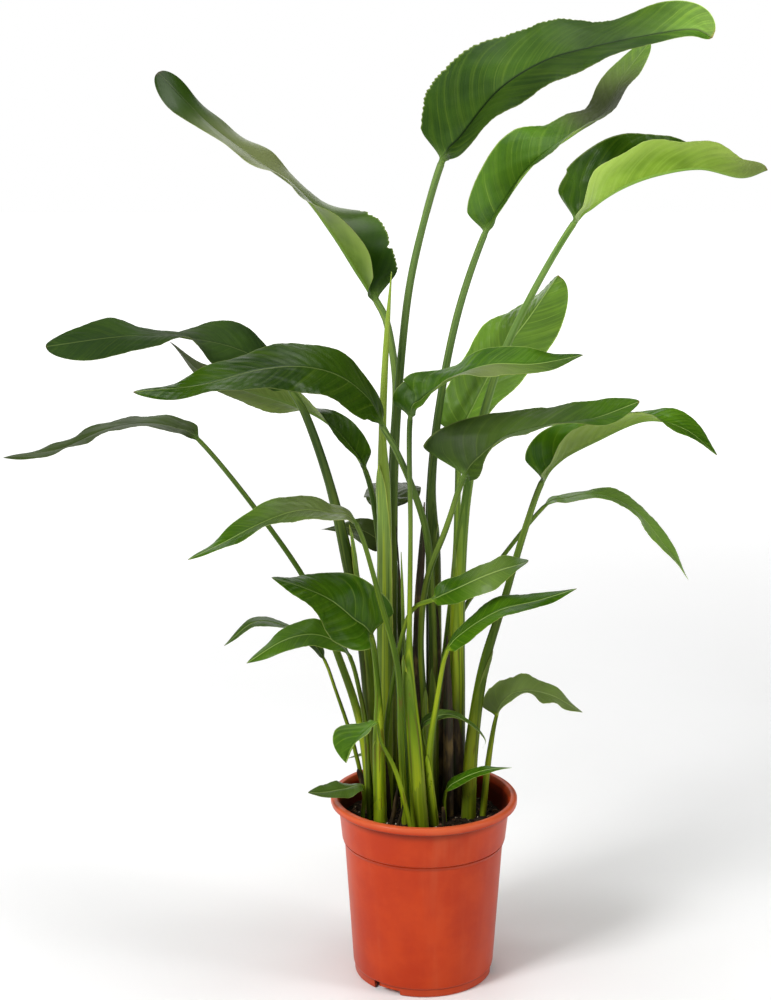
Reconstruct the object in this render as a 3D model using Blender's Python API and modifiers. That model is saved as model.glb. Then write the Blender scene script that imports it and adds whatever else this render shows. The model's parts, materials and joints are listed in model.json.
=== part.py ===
"""Potted bird of paradise: a clump of young Strelitzia in a turned plastic nursery pot.

Metres, +Z up. The origin is the middle of the pot's underside, where it stands, and -Y is the front.
Each leaf grew as one piece with its stalk, so it is one closed loft from the foot of the stalk, which
stands in a plain hole in the soil, to the tip of the blade.
"""

import math

import bmesh
import bpy
import numpy as np
from mathutils import Matrix, Vector

# Pot, as radii and heights.
RIM_RADIUS = 0.120
RIM_INSIDE = 0.1114
POT_HEIGHT = 0.239
RIM_DEPTH = 0.0095
WALL = 0.0016
COLLAR_TOP = 0.110
COLLAR_FOOT = 0.1052
COLLAR_FOOT_Z = 0.182
STEP = 0.0033
STEP_Z = 0.176
BODY_FOOT = 0.0912
FOOT_RADIUS = 0.0897
FOOT_HEIGHT = 0.0105
FLOOR_UNDER = 0.006
FLOOR_THICKNESS = 0.0018
PAD_RADIUS = 0.018
POT_SIDES = 36
FOOT_GAPS = 3
FOOT_GAP_WIDTH = 0.032
FOOT_GAP_HEIGHT = 0.006
FOOT_GAP_ANGLE = -120.5
DRAIN_SLOT_WIDTH = 0.009
DRAIN_SLOT_HEIGHT = 0.0115
DRAIN_SLOT_STEP = -14.0
DRAIN_HOLES = 6
DRAIN_HOLE_RADIUS = 0.006
DRAIN_RING = 0.060

# Soil, and how the stalks stand in it.
SOIL_TOP = 0.205
SOIL_GAP = 0.0005
BURIED = 0.024
HOLE_GAP = 0.0005
HOLE_SIDES = 8

# Leaf sections.
BLADE_THICKNESS = 0.0009
TIP_WIDTH = 0.0012
BASE_BLEND = 0.06
STALK_STEP = 0.066
ACROSS = (0.0, 0.1, 0.52, 1.0)
ACROSS_SMALL = (0.0, 0.3, 1.0)

COLLECTION = "potted_bird_of_paradise"


def material(name, colour, roughness):
    made = bpy.data.materials.new(name)
    made.use_nodes = True
    shader = made.node_tree.nodes["Principled BSDF"]
    shader.inputs["Base Color"].default_value = (*colour, 1.0)
    shader.inputs["Roughness"].default_value = roughness
    shader.inputs["Metallic"].default_value = 0.0
    made.diffuse_color = (*colour, 1.0)
    return made


def clear_scene():
    for obj in list(bpy.data.objects):
        bpy.data.objects.remove(obj, do_unlink=True)


def new_collection(name):
    made = bpy.data.collections.new(name)
    bpy.context.scene.collection.children.link(made)
    return made


def add_object(name, mesh, collection, finish=None):
    obj = bpy.data.objects.new(name, mesh)
    collection.objects.link(obj)
    if finish:
        mesh.materials.append(finish)
    return obj


# ---------------------------------------------------------------- turned pieces


def turned(name, profile, collection, finish):
    """A profile of (radius, height) points turned round Z, from the axis back to the axis."""
    mesh = bpy.data.meshes.new(name)
    edges = [(i, i + 1) for i in range(len(profile) - 1)]
    mesh.from_pydata([(radius, 0.0, height) for radius, height in profile], edges, [])
    obj = add_object(name, mesh, collection, finish)
    screw = obj.modifiers.new("turn", "SCREW")
    screw.steps = screw.render_steps = POT_SIDES
    screw.use_merge_vertices = True
    screw.merge_threshold = 0.0001
    screw.use_smooth_shade = True
    return obj


def pot_profile():
    collar_wall = COLLAR_FOOT - WALL
    floor_top = FLOOR_UNDER + FLOOR_THICKNESS
    inside = [
        (0.0, floor_top),
        (BODY_FOOT - WALL - 0.002, floor_top),
        (BODY_FOOT - WALL, floor_top + 0.002),
        (COLLAR_FOOT - STEP - WALL, STEP_Z),
        (collar_wall, COLLAR_FOOT_Z),
        (COLLAR_TOP - WALL, POT_HEIGHT - RIM_DEPTH),
        (RIM_INSIDE, POT_HEIGHT - 0.0015),
    ]
    rim = [
        (RIM_INSIDE + 0.0014, POT_HEIGHT),
        (RIM_RADIUS - 0.0025, POT_HEIGHT),
        (RIM_RADIUS - 0.0006, POT_HEIGHT - 0.001),
        (RIM_RADIUS, POT_HEIGHT - 0.003),
        (RIM_RADIUS - 0.0002, POT_HEIGHT - RIM_DEPTH + 0.0015),
        (RIM_RADIUS - 0.0016, POT_HEIGHT - RIM_DEPTH),
    ]
    outside = [
        (COLLAR_TOP + 0.001, POT_HEIGHT - RIM_DEPTH),
        (COLLAR_TOP, POT_HEIGHT - RIM_DEPTH - 0.0015),
        (COLLAR_FOOT, COLLAR_FOOT_Z),
        (COLLAR_FOOT - STEP, STEP_Z),
        (BODY_FOOT, FOOT_HEIGHT + 0.001),
        (FOOT_RADIUS, FOOT_HEIGHT),
        (FOOT_RADIUS - 0.0003, 0.0012),
        (FOOT_RADIUS - 0.0015, 0.0),
        (FOOT_RADIUS - 0.004, 0.0),
        (FOOT_RADIUS - 0.005, FLOOR_UNDER),
        (PAD_RADIUS + 0.001, FLOOR_UNDER),
        (PAD_RADIUS, 0.0),
        (0.0, 0.0),
    ]
    return inside + rim + outside


def box_cutter(name, size, place, angle, collection):
    mesh = bpy.data.meshes.new(name)
    box = bmesh.new()
    bmesh.ops.create_cube(box, size=1.0)
    bmesh.ops.scale(box, vec=size, verts=box.verts)
    bmesh.ops.translate(box, vec=place, verts=box.verts)
    bmesh.ops.rotate(box, matrix=Matrix.Rotation(angle, 3, "Z"), verts=box.verts)
    box.to_mesh(mesh)
    box.free()
    return add_cutter(name, mesh, collection)


def rod_cutter(name, low, high, radius, sides, collection):
    """A straight round rod between two points."""
    mesh = bpy.data.meshes.new(name)
    rod = bmesh.new()
    along = Vector(high) - Vector(low)
    turn = along.to_track_quat("Z", "Y").to_matrix().to_4x4()
    place = Matrix.Translation((Vector(low) + Vector(high)) / 2) @ turn
    bmesh.ops.create_cone(
        rod, cap_ends=True, segments=sides, radius1=radius, radius2=radius, depth=along.length, matrix=place
    )
    rod.to_mesh(mesh)
    rod.free()
    return add_cutter(name, mesh, collection)


def add_cutter(name, mesh, collection):
    obj = add_object(name, mesh, collection)
    obj.display_type = "WIRE"
    obj.hide_render = True
    return obj


def cut(obj, name, collection):
    boolean = obj.modifiers.new(name, "BOOLEAN")
    boolean.operation = "DIFFERENCE"
    boolean.operand_type = "COLLECTION"
    boolean.collection = collection
    boolean.solver = "EXACT"


def make_pot(collection, finish):
    pot = turned("pot", pot_profile(), collection, finish)
    cutters = new_collection("pot_cutters")
    ring_middle = FOOT_RADIUS - 0.002
    for i in range(FOOT_GAPS):
        angle = math.radians(FOOT_GAP_ANGLE + 360.0 / FOOT_GAPS * i)
        gap = (0.012, FOOT_GAP_WIDTH, 2 * FOOT_GAP_HEIGHT)
        box_cutter(f"foot_gap_{i + 1}", gap, (ring_middle, 0.0, 0.0), angle, cutters)
        slot = (0.020, DRAIN_SLOT_WIDTH, 2 * DRAIN_SLOT_HEIGHT)
        turn = angle + math.radians(DRAIN_SLOT_STEP)
        box_cutter(f"drain_slot_{i + 1}", slot, (ring_middle, 0.0, 0.0), turn, cutters)
    for i in range(DRAIN_HOLES):
        angle = math.tau * i / DRAIN_HOLES
        x, y = DRAIN_RING * math.cos(angle), DRAIN_RING * math.sin(angle)
        rod_cutter(f"drain_{i + 1}", (x, y, 0.0), (x, y, 0.02), DRAIN_HOLE_RADIUS, 12, cutters)
    cut(pot, "feet_and_drains", cutters)
    return pot


def make_soil(collection, finish, feet):
    """The filling of the pot, with a plain hole for each stalk."""
    floor = FLOOR_UNDER + FLOOR_THICKNESS + SOIL_GAP
    body = COLLAR_FOOT - STEP - WALL - SOIL_GAP
    share = (SOIL_TOP - COLLAR_FOOT_Z) / (POT_HEIGHT - RIM_DEPTH - COLLAR_FOOT_Z)
    top = COLLAR_FOOT + (COLLAR_TOP - COLLAR_FOOT) * share - WALL - SOIL_GAP
    profile = [
        (0.0, SOIL_TOP),
        (top, SOIL_TOP),
        (COLLAR_FOOT - WALL - SOIL_GAP, COLLAR_FOOT_Z),
        (body, STEP_Z),
        (BODY_FOOT - WALL - 0.001, floor + 0.012),
        (BODY_FOOT - WALL - 0.003, floor),
        (0.0, floor),
    ]
    soil = turned("soil", profile, collection, finish)
    cutters = new_collection("stalk_holes")
    for name, (foot, along, radius) in feet.items():
        low = foot - along * HOLE_GAP
        high = foot + along * (BURIED * 1.6)
        hole = (radius + HOLE_GAP) / math.cos(math.pi / HOLE_SIDES)
        rod_cutter(f"hole_{name}", low, high, hole, HOLE_SIDES, cutters)
    cut(soil, "stalk_holes", cutters)
    return soil


# ---------------------------------------------------------------- leaves


def spline(values, at):
    """Catmull-Rom through the values, which stand at whole numbers."""
    values = np.asarray(values, float)
    if values.ndim == 1:
        values = values[:, None]
    ends = np.vstack([2 * values[:1] - values[1:2], values, 2 * values[-1:] - values[-2:-1]])
    i = np.clip(at.astype(int), 0, len(values) - 2)
    t = (at - i)[:, None]
    a, b, c, d = ends[i], ends[i + 1], ends[i + 2], ends[i + 3]
    return 0.5 * (2 * b + (c - a) * t + (2 * a - 5 * b + 4 * c - d) * t**2 + (3 * b - a - 3 * c + d) * t**3)


def steps_along(points, start, end, shares):
    """Spline parameters between two of its points, at the given shares of the length between them."""
    at = np.linspace(start, end, 400)
    placed = spline(points, at)
    run = np.concatenate([[0.0], np.cumsum(np.linalg.norm(np.diff(placed, axis=0), axis=1))])
    return np.interp(np.asarray(shares) * run[-1], run, at), run[-1]


def unit(vectors):
    return vectors / np.linalg.norm(vectors, axis=-1, keepdims=True)


def listed(values, share):
    """A value read smoothly from a list spread evenly over 0 to 1."""
    if len(values) == 1:
        return np.full(len(share), float(values[0]))
    return spline(values, np.clip(share, 0.0, 1.0) * (len(values) - 1))[:, 0]


def half_across(share, half_width, rise, curl, wave, phase, across):
    """One half of a blade's sections, as (sideways, upward) from the rib, for each station and each point
    across. rise is the half's angle over level at the rib, and curl is how far it has turned at its edge."""
    sideways = np.zeros((len(share), len(across)))
    upward = np.zeros_like(sideways)
    for k in range(1, len(across)):
        middle = (across[k] + across[k - 1]) / 2
        angle = np.radians(rise + curl * middle)
        step = (across[k] - across[k - 1]) * half_width
        sideways[:, k] = sideways[:, k - 1] + step * np.cos(angle)
        upward[:, k] = upward[:, k - 1] + step * np.sin(angle)
    size, count = wave
    ripple = size * np.sin(math.tau * (count * share + phase)) * np.sin(math.pi * np.clip(share, 0.0, 1.0))
    lift = ripple[:, None] * np.asarray(across) ** 2
    turn = np.radians(rise + curl)[:, None]
    return sideways - lift * np.sin(turn), upward + lift * np.cos(turn)


def leaf_surface(leaf, rows, across):
    """The middle surface of a leaf from foot to tip: its places, and how far each of its two faces stands
    off them. Stations run along the first axis, and the second goes from the right edge to the left."""
    stalk = [np.array(p, float) for p in leaf["stalk"]]
    along = unit(stalk[1] - stalk[0] if len(stalk) > 1 else np.array(leaf["rib"][0], float) - stalk[0])
    foot = stalk[0] - along * BURIED
    path = [foot, *stalk, *[np.array(p, float) for p in leaf["rib"]]]
    joint = len(stalk) + 1
    last = len(path) - 1
    stalk_at, stalk_length = steps_along(path, 1, joint, [0.0, 1.0])
    count = max(2, round(stalk_length / STALK_STEP))
    stalk_at, _ = steps_along(path, 1, joint, np.linspace(0.0, 1.0, count + 1)[:-1])
    even = np.linspace(0.0, 1.0, rows)
    share = 0.45 * even + 0.55 * (1 - np.cos(math.pi * even)) / 2
    blade_at, length = steps_along(path, joint, last, share)
    at = np.concatenate([[0.0], stalk_at, blade_at])
    places = spline(path, at)
    tangents = unit(spline(path, np.minimum(at + 0.02, last)) - spline(path, np.maximum(at - 0.02, 0.0)))
    tangents[:2] = along
    share = np.concatenate([np.zeros(len(stalk_at) + 1), share])

    # Half-width of the round stalk, then of the blade.
    radii = np.array(leaf["radius"], float)
    round_half = np.interp(at, np.linspace(1, joint, len(radii)), radii)
    taper = np.clip(1.0 - share, 0.0, 1.0)
    first, second = leaf.get("shape", (0.42, 0.8))
    peak = (first / (first + second)) ** first * (second / (first + second)) ** second
    flat_half = leaf["width"] * share**first * taper**second / peak
    blend = np.clip(share / BASE_BLEND, 0.0, 1.0)
    blend = blend * blend * (3 - 2 * blend)
    half = np.maximum(np.maximum(round_half * (1 - blend), flat_half), TIP_WIDTH / 2)
    thick = np.where(share > 0, radii[-1] * taper**1.2 * 0.9, round_half)

    # Directions square to the path: sideways to the leaf's left, and up from its upper face.
    heading = path[-1] - path[joint]
    side = np.array([-heading[1], heading[0], 0.0])
    side = unit(side[None] - (tangents @ side)[:, None] * tangents)
    up = np.cross(tangents, side)
    left = listed(leaf["left"], share)
    right = listed(leaf["right"], share)
    roll = np.radians(left - right) / 2
    near_blade = np.clip((at - (joint - 1)) / 1.0, 0.0, 1.0)
    roll = roll * near_blade
    fold = (left + right) / 2 * blend
    cos, sin = np.cos(roll)[:, None], np.sin(roll)[:, None]
    side, up = side * cos + up * sin, up * cos - side * sin

    curls = leaf.get("curl", (0.0, 0.0))
    wave = leaf.get("wave", (0.0, 1.0))
    circle = np.sin(np.linspace(0.0, math.pi / 2, len(across)))
    sweep = leaf.get("sweep", (0.0, 0.0))
    near_base = np.clip(1.0 - share / 0.4, 0.0, 1.0) ** 2 * blend * half / leaf["width"]
    halves = []
    for sign, curl, phase, back in ((-1, curls[1], 0.35, sweep[1]), (1, curls[0], 0.0, sweep[0])):
        curl = listed(np.atleast_1d(curl), share) * blend
        out, lift = half_across(share, half, fold, curl, wave, phase + leaf.get("phase", 0.0), across)
        flat_out = circle[None] * half[:, None]
        out = flat_out * (1 - blend[:, None]) + out * blend[:, None]
        lift = lift * blend[:, None]
        behind = back * near_base[:, None] * np.asarray(across) ** 2
        half_places = places[:, None] - behind[..., None] * tangents[:, None]
        halves.append(half_places + sign * out[..., None] * side[:, None] + lift[..., None] * up[:, None])
    middle = np.concatenate([halves[0][:, ::-1], halves[1][:, 1:]], axis=1)

    # How far the two faces stand off the middle: round in the stalk, thin with a rib in the blade.
    spread = np.concatenate([-circle[::-1], circle[1:]])
    places_across = np.concatenate([-np.asarray(across)[::-1], np.asarray(across)[1:]])
    rounded = thick[:, None] * np.sqrt(np.clip(1.0 - (0.985 * spread[None]) ** 2, 0.0, 1.0))
    rib = np.exp(-((places_across[None] * half[:, None] / 0.0022) ** 2)) * thick[:, None]
    flat_top = np.full_like(rounded, BLADE_THICKNESS / 2)
    flat_under = flat_top + rib * 0.9
    mix = blend[:, None]
    top = rounded * (1 - mix) + flat_top * mix
    under = rounded * (1 - mix) + flat_under * mix
    return middle, top, under, length


def surface_normals(middle):
    along = np.gradient(middle, axis=0)
    across = np.gradient(middle, axis=1)
    return unit(np.cross(along, across))


def leaf_mesh(name, leaf, rows, across):
    """Closes the two faces of the leaf round its edge, with ends at the foot and the tip. Each four-sided
    patch is split the same way on both faces, so a waved blade keeps its thickness."""
    middle, top, under, _ = leaf_surface(leaf, rows, across)
    normals = surface_normals(middle)
    upper = middle + normals * top[..., None]
    lower = middle - normals * under[..., None]
    stations, wide = middle.shape[:2]
    points = np.concatenate([upper.reshape(-1, 3), lower.reshape(-1, 3)])
    offset = stations * wide
    faces = []
    for i in range(stations - 1):
        for k in range(wide - 1):
            a, b = i * wide + k, i * wide + k + 1
            c, d = a + wide, b + wide
            faces += [(a, c, d), (a, d, b)]
            faces += [(offset + a, offset + d, offset + c), (offset + a, offset + b, offset + d)]
        for k, turn in ((0, False), (wide - 1, True)):
            a, c = i * wide + k, (i + 1) * wide + k
            sides = [(a, offset + a, offset + c), (a, offset + c, c)]
            faces += [face[::-1] for face in sides] if turn else sides
    for i, turn in ((0, False), (stations - 1, True)):
        row = list(range(i * wide, (i + 1) * wide))
        ring = row + [offset + p for p in reversed(row)]
        faces.append(ring[::-1] if turn else ring)
    mesh = bpy.data.meshes.new(name)
    mesh.from_pydata([tuple(p) for p in points], [], [tuple(f) for f in faces])
    shaped = bmesh.new()
    shaped.from_mesh(mesh)
    bmesh.ops.recalc_face_normals(shaped, faces=shaped.faces)
    shaped.to_mesh(mesh)
    shaped.free()
    mesh.shade_smooth()
    mesh.set_sharp_from_angle(angle=math.radians(50))
    return mesh


def foot_of(leaf):
    """Where a stalk's foot stands, its direction there and the radius of its hole."""
    start = Vector(leaf["stalk"][0])
    second = Vector(leaf["stalk"][1] if len(leaf["stalk"]) > 1 else leaf["rib"][0])
    along = (second - start).normalized()
    return start - along * BURIED, along, leaf["radius"][0]


# ---------------------------------------------------------------- the plant
# stalk and rib are (x, y, z) points from the soil to the blade, and from the blade's base to its tip.
# radius is the stalk's, from soil to blade. width is the greatest half-width of the blade. left and right
# are the angles in degrees that the two halves rise over level, from base to tip, seen along the leaf
# from its base. curl is how much further the left and right edges turn, and sweep is how far back the two
# lobes at its base reach.

LEAVES = {
    "leaf_01": dict(
        stalk=[(-0.040, 0.040, 0.205), (-0.041, 0.040, 0.365), (-0.040, 0.038, 0.540), (-0.038, 0.036, 0.670),
               (-0.029, 0.032, 0.810), (-0.015, 0.024, 0.915)],
        rib=[(0.017, 0.012, 1.035), (0.042, 0.000, 1.070), (0.085, -0.015, 1.122), (0.136, -0.030, 1.154),
             (0.189, -0.045, 1.169), (0.244, -0.060, 1.180), (0.298, -0.075, 1.187), (0.321, -0.082, 1.178)],
        radius=[0.0075, 0.0065, 0.006, 0.0055, 0.0050, 0.0048, 0.0045],
        width=0.067, left=[50, 90, 90, 58, 47, 33, 33, 45, 55], right=[-22, -25, -27, -32, -30, -23, -17, -14, -18],
        curl=([0, 0, 0, 0, 0, 20, 60], 0), sweep=(0.022, 0.008), wave=(0.003, 5), shape=(0.3, 0.45), rows=15),
    "leaf_02": dict(
        stalk=[(0.014, 0.068, 0.205), (0.014, 0.068, 0.365), (0.012, 0.066, 0.535), (0.009, 0.062, 0.630),
               (0.019, 0.060, 0.737), (0.041, 0.065, 0.850)],
        rib=[(0.074, 0.080, 0.947), (0.100, 0.090, 0.990), (0.137, 0.100, 1.036), (0.188, 0.115, 1.071),
             (0.226, 0.130, 1.096), (0.250, 0.150, 1.139), (0.286, 0.165, 1.184)],
        radius=[0.0105, 0.0105, 0.010, 0.006, 0.005, 0.0048, 0.0042],
        width=0.052, left=[20, 42, 50, 46, 20, 17, 18, 20, 40], right=[15, 19, 19, 15, 14, 15, 5, -8, -20],
        curl=(0, 0), sweep=(0.006, 0.0), wave=(0.003, 4), shape=(0.36, 0.7), rows=14),
    "leaf_03": dict(
        stalk=[(0.044, 0.030, 0.205), (0.042, 0.030, 0.368), (0.043, 0.029, 0.502), (0.051, 0.026, 0.613),
               (0.066, 0.022, 0.704), (0.092, 0.016, 0.797), (0.131, 0.002, 0.886)],
        rib=[(0.175, -0.016, 0.966), (0.198, -0.022, 0.988), (0.230, -0.030, 1.009), (0.270, -0.038, 1.024),
             (0.319, -0.045, 1.031), (0.366, -0.052, 1.021), (0.396, -0.055, 1.030)],
        radius=[0.0115, 0.0115, 0.0095, 0.0065, 0.0055, 0.005, 0.0045, 0.004],
        width=0.06, left=[35, 80, 85, 75, 52, 36, 30, 34, 40], right=[0, 10, 33, 40, 42, 40, 42, 45, 60],
        curl=(0, 0), sweep=(0.008, 0.0), wave=(0.003, 4), shape=(0.3, 0.55), rows=14),
    "leaf_04": dict(
        stalk=[(-0.046, 0.062, 0.205), (-0.046, 0.064, 0.357), (-0.045, 0.066, 0.532), (-0.039, 0.068, 0.676),
               (-0.036, 0.072, 0.759), (-0.046, 0.078, 0.831)],
        rib=[(-0.060, 0.082, 0.863), (-0.085, 0.090, 0.900), (-0.117, 0.100, 0.949), (-0.157, 0.115, 0.999),
             (-0.215, 0.130, 1.040), (-0.276, 0.147, 1.085), (-0.339, 0.165, 1.147)],
        radius=[0.0075, 0.0065, 0.006, 0.0055, 0.005, 0.0048, 0.0045],
        width=0.05, left=[20, 48, 33, 13, 10, 0, 0, -30, -50], right=[70, 78, 45, -5, 3, 10, 5, 10, 40],
        curl=(0, 0), sweep=(0.0, 0.015), wave=(0.003, 5), shape=(0.28, 0.45), rows=14),
    "leaf_05": dict(
        stalk=[(-0.061, 0.048, 0.205), (-0.067, 0.045, 0.323), (-0.077, 0.038, 0.433), (-0.097, 0.020, 0.544),
               (-0.118, 0.000, 0.644), (-0.144, -0.018, 0.729)],
        rib=[(-0.163, -0.025, 0.766), (-0.189, -0.030, 0.797), (-0.230, -0.040, 0.820), (-0.276, -0.050, 0.832),
             (-0.316, -0.062, 0.839), (-0.373, -0.080, 0.837), (-0.445, -0.100, 0.829)],
        radius=[0.010, 0.010, 0.0095, 0.0085, 0.0060, 0.0055, 0.0045],
        width=0.048, left=[-40, -45, -40, -28, 5, -10, -27, -42, -50], right=[17, 25, 36, 25, 2, 2, 33, 28, 20],
        curl=(0, 0), wave=(0.003, 3), shape=(0.36, 0.5), rows=14),
    "leaf_06": dict(
        stalk=[(0.014, 0.026, 0.205), (0.013, 0.023, 0.374), (0.009, 0.012, 0.495), (0.002, -0.004, 0.582),
               (-0.017, -0.024, 0.648), (-0.038, -0.050, 0.700)],
        rib=[(-0.052, -0.065, 0.728), (-0.068, -0.070, 0.762), (-0.103, -0.090, 0.793), (-0.147, -0.110, 0.807),
             (-0.199, -0.130, 0.805), (-0.261, -0.150, 0.791), (-0.334, -0.175, 0.787)],
        radius=[0.0055, 0.0055, 0.005, 0.0045, 0.0042, 0.004, 0.004],
        width=0.048, left=[-40, -47, -42, -33, -29, -17, -6, -28, -40], right=[18, 25, 35, 31, 23, 20, 22, 2, 5],
        curl=(0, 0), sweep=(0.010, 0.015), wave=(0.002, 4), shape=(0.38, 0.7), rows=14),
    "leaf_07": dict(
        stalk=[(-0.033, 0.080, 0.205), (-0.041, 0.080, 0.353), (-0.051, 0.080, 0.488), (-0.063, 0.082, 0.594)],
        rib=[(-0.075, 0.090, 0.644), (-0.095, 0.092, 0.677), (-0.127, 0.096, 0.709), (-0.172, 0.101, 0.730),
             (-0.230, 0.107, 0.747), (-0.285, 0.113, 0.769), (-0.327, 0.120, 0.808)],
        radius=[0.005, 0.005, 0.0045, 0.004, 0.0035],
        width=0.032, left=[15, 0, 30, 60, 60, 50, 40], right=[60, 45, 0, -45, -50, -40, -20],
        curl=(0, 0), wave=(0.002, 3), shape=(0.42, 0.75), rows=12),
    "leaf_08": dict(
        stalk=[(-0.068, 0.012, 0.205), (-0.080, 0.016, 0.319), (-0.108, 0.024, 0.411), (-0.148, 0.034, 0.507),
               (-0.215, 0.042, 0.606)],
        rib=[(-0.284, 0.050, 0.691), (-0.315, 0.055, 0.707), (-0.354, 0.060, 0.712), (-0.406, 0.070, 0.702),
             (-0.467, 0.082, 0.675), (-0.543, 0.095, 0.661)],
        radius=[0.0055, 0.0055, 0.005, 0.0035, 0.0033, 0.003],
        width=0.032, left=[-10, 0, 0, 0, -10, -5, -8, -20, -15], right=[30, 17, 11, 8, 16, 20, 18, 6, 8],
        curl=(0, 0), wave=(0.002, 5), shape=(0.42, 0.75), rows=14),
    "leaf_09": dict(
        stalk=[(-0.024, -0.020, 0.205), (-0.030, -0.039, 0.324), (-0.034, -0.050, 0.421), (-0.054, -0.062, 0.507)],
        rib=[(-0.084, -0.075, 0.611), (-0.116, -0.083, 0.627), (-0.154, -0.092, 0.632), (-0.196, -0.105, 0.620),
             (-0.239, -0.118, 0.600), (-0.282, -0.130, 0.581)],
        radius=[0.0045, 0.0042, 0.004, 0.0035, 0.003],
        width=0.030, left=[-25, -5, -10, -10, 0, 0, -10, -8, -15], right=[18, 14, 22, 27, 33, 34, 22, 3, 10],
        curl=(0, 0), wave=(0.0015, 4), shape=(0.42, 0.85), rows=12),
    "leaf_10": dict(
        stalk=[(-0.056, -0.010, 0.205), (-0.058, -0.014, 0.310), (-0.059, -0.024, 0.386)],
        rib=[(-0.067, -0.050, 0.464), (-0.089, -0.067, 0.492), (-0.116, -0.085, 0.520), (-0.148, -0.105, 0.541),
             (-0.184, -0.125, 0.558)],
        radius=[0.0085, 0.008, 0.0042, 0.0035],
        width=0.047, left=[-40, -45, -55, -62, -55, -40, -33, -30, -20], right=[95, 92, 85, 72, 42, 22, 12, 8, 5],
        curl=(0, 0), sweep=(0.010, 0.020), wave=(0.0015, 3), shape=(0.38, 0.75), rows=12),
    "leaf_11": dict(
        stalk=[(-0.070, 0.000, 0.205), (-0.074, 0.001, 0.320), (-0.083, -0.006, 0.382)],
        rib=[(-0.094, -0.015, 0.427), (-0.111, -0.021, 0.448), (-0.141, -0.031, 0.461), (-0.177, -0.047, 0.457),
             (-0.220, -0.065, 0.434)],
        radius=[0.0035, 0.0035, 0.003, 0.003],
        width=0.024, left=[-15, -15, -25, -26, -22, -25, -33, -40, -25], right=[20, 20, 35, 43, 30, 19, 6, 5, 10],
        curl=(0, 0), wave=(0.001, 3), shape=(0.45, 0.85), rows=10),
    "leaf_12": dict(
        stalk=[(-0.071, 0.030, 0.205), (-0.092, 0.036, 0.296), (-0.115, 0.041, 0.368)],
        rib=[(-0.128, 0.044, 0.404), (-0.147, 0.048, 0.430), (-0.178, 0.055, 0.446), (-0.219, 0.063, 0.450),
             (-0.261, 0.075, 0.414)],
        radius=[0.003, 0.0028, 0.0022, 0.0022],
        width=0.018, left=[0, 0, 0, 10, 0, -10, -25, -25, -15], right=[10, 10, 0, -8, 0, 5, 30, 28, 15],
        curl=(0, 0), wave=(0.001, 3), shape=(0.45, 0.80), rows=9),
    "leaf_13": dict(
        stalk=[(-0.005, -0.030, 0.205), (-0.013, -0.032, 0.316), (-0.021, -0.035, 0.403), (-0.020, -0.038, 0.469),
               (-0.019, -0.043, 0.597)],
        rib=[(-0.020, -0.048, 0.734), (-0.005, -0.048, 0.760), (0.034, -0.047, 0.787), (0.077, -0.045, 0.801),
             (0.131, -0.042, 0.801), (0.188, -0.036, 0.811)],
        radius=[0.0105, 0.0105, 0.0085, 0.0035, 0.003, 0.0035],
        width=0.036, left=[12, 66, 27, 8, 27, 40, 43, 25, 25], right=[-15, 0, 9, 5, -14, -20, -16, -20, -5],
        curl=(0, 0), sweep=(0.008, 0.0), wave=(0.002, 3), shape=(0.35, 0.70), rows=12),
    "leaf_14": dict(
        stalk=[(0.024, 0.047, 0.205), (0.024, 0.048, 0.335), (0.034, 0.048, 0.444), (0.041, 0.052, 0.542),
               (0.043, 0.064, 0.625)],
        rib=[(0.046, 0.075, 0.690), (0.064, 0.088, 0.732), (0.097, 0.106, 0.790), (0.136, 0.124, 0.840),
             (0.173, 0.140, 0.892)],
        radius=[0.009, 0.0085, 0.007, 0.0045, 0.004, 0.004],
        width=0.05, left=[60, 45, 30, 24, 26, 25, 4, -14, -22], right=[-10, -6, -10, -21, -32, -40, -52, -50, -40],
        curl=(0, 0), sweep=(0.012, 0.012), wave=(0.002, 4), shape=(0.36, 0.42), rows=12),
    "leaf_15": dict(
        stalk=[(0.006, 0.010, 0.205), (0.000, 0.002, 0.351), (-0.005, -0.008, 0.447), (0.002, -0.020, 0.528),
               (0.024, -0.038, 0.596)],
        rib=[(0.045, -0.055, 0.665), (0.064, -0.064, 0.693), (0.098, -0.080, 0.721), (0.144, -0.096, 0.736),
             (0.195, -0.113, 0.747), (0.244, -0.130, 0.769)],
        radius=[0.0045, 0.0045, 0.004, 0.004, 0.0038, 0.0038],
        width=0.048, left=[75, 85, 55, 25, 23, 32, 30, 43, 28], right=[-20, -26, -12, 0, 3, 3, 0, -28, -35],
        curl=(0, 0), sweep=(0.085, 0.0), wave=(0.003, 3), shape=(0.25, 0.60), rows=14),
    "leaf_16": dict(
        stalk=[(0.058, 0.009, 0.205), (0.062, 0.010, 0.307), (0.076, 0.009, 0.409), (0.100, 0.004, 0.496),
               (0.121, -0.003, 0.578)],
        rib=[(0.143, -0.010, 0.649), (0.165, -0.015, 0.679), (0.206, -0.024, 0.704), (0.265, -0.036, 0.731),
             (0.312, -0.047, 0.722), (0.349, -0.060, 0.693)],
        radius=[0.0095, 0.009, 0.007, 0.005, 0.0045, 0.004],
        width=0.044, left=[36, 80, 55, 34, 20, 12, 24, 23, 10], right=[10, 10, 33, 35, 28, 20, 0, 0, 5],
        curl=(0, 0), sweep=(0.020, 0.0), wave=(0.002, 3), shape=(0.40, 0.65), rows=14),
    "leaf_17": dict(
        stalk=[(0.049, 0.066, 0.205), (0.043, 0.064, 0.358), (0.047, 0.065, 0.452), (0.086, 0.072, 0.513)],
        rib=[(0.154, 0.085, 0.597), (0.183, 0.090, 0.608), (0.226, 0.095, 0.613), (0.276, 0.103, 0.590),
             (0.318, 0.110, 0.540), (0.351, 0.115, 0.493)],
        radius=[0.0035, 0.0035, 0.003, 0.003, 0.0028],
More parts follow.
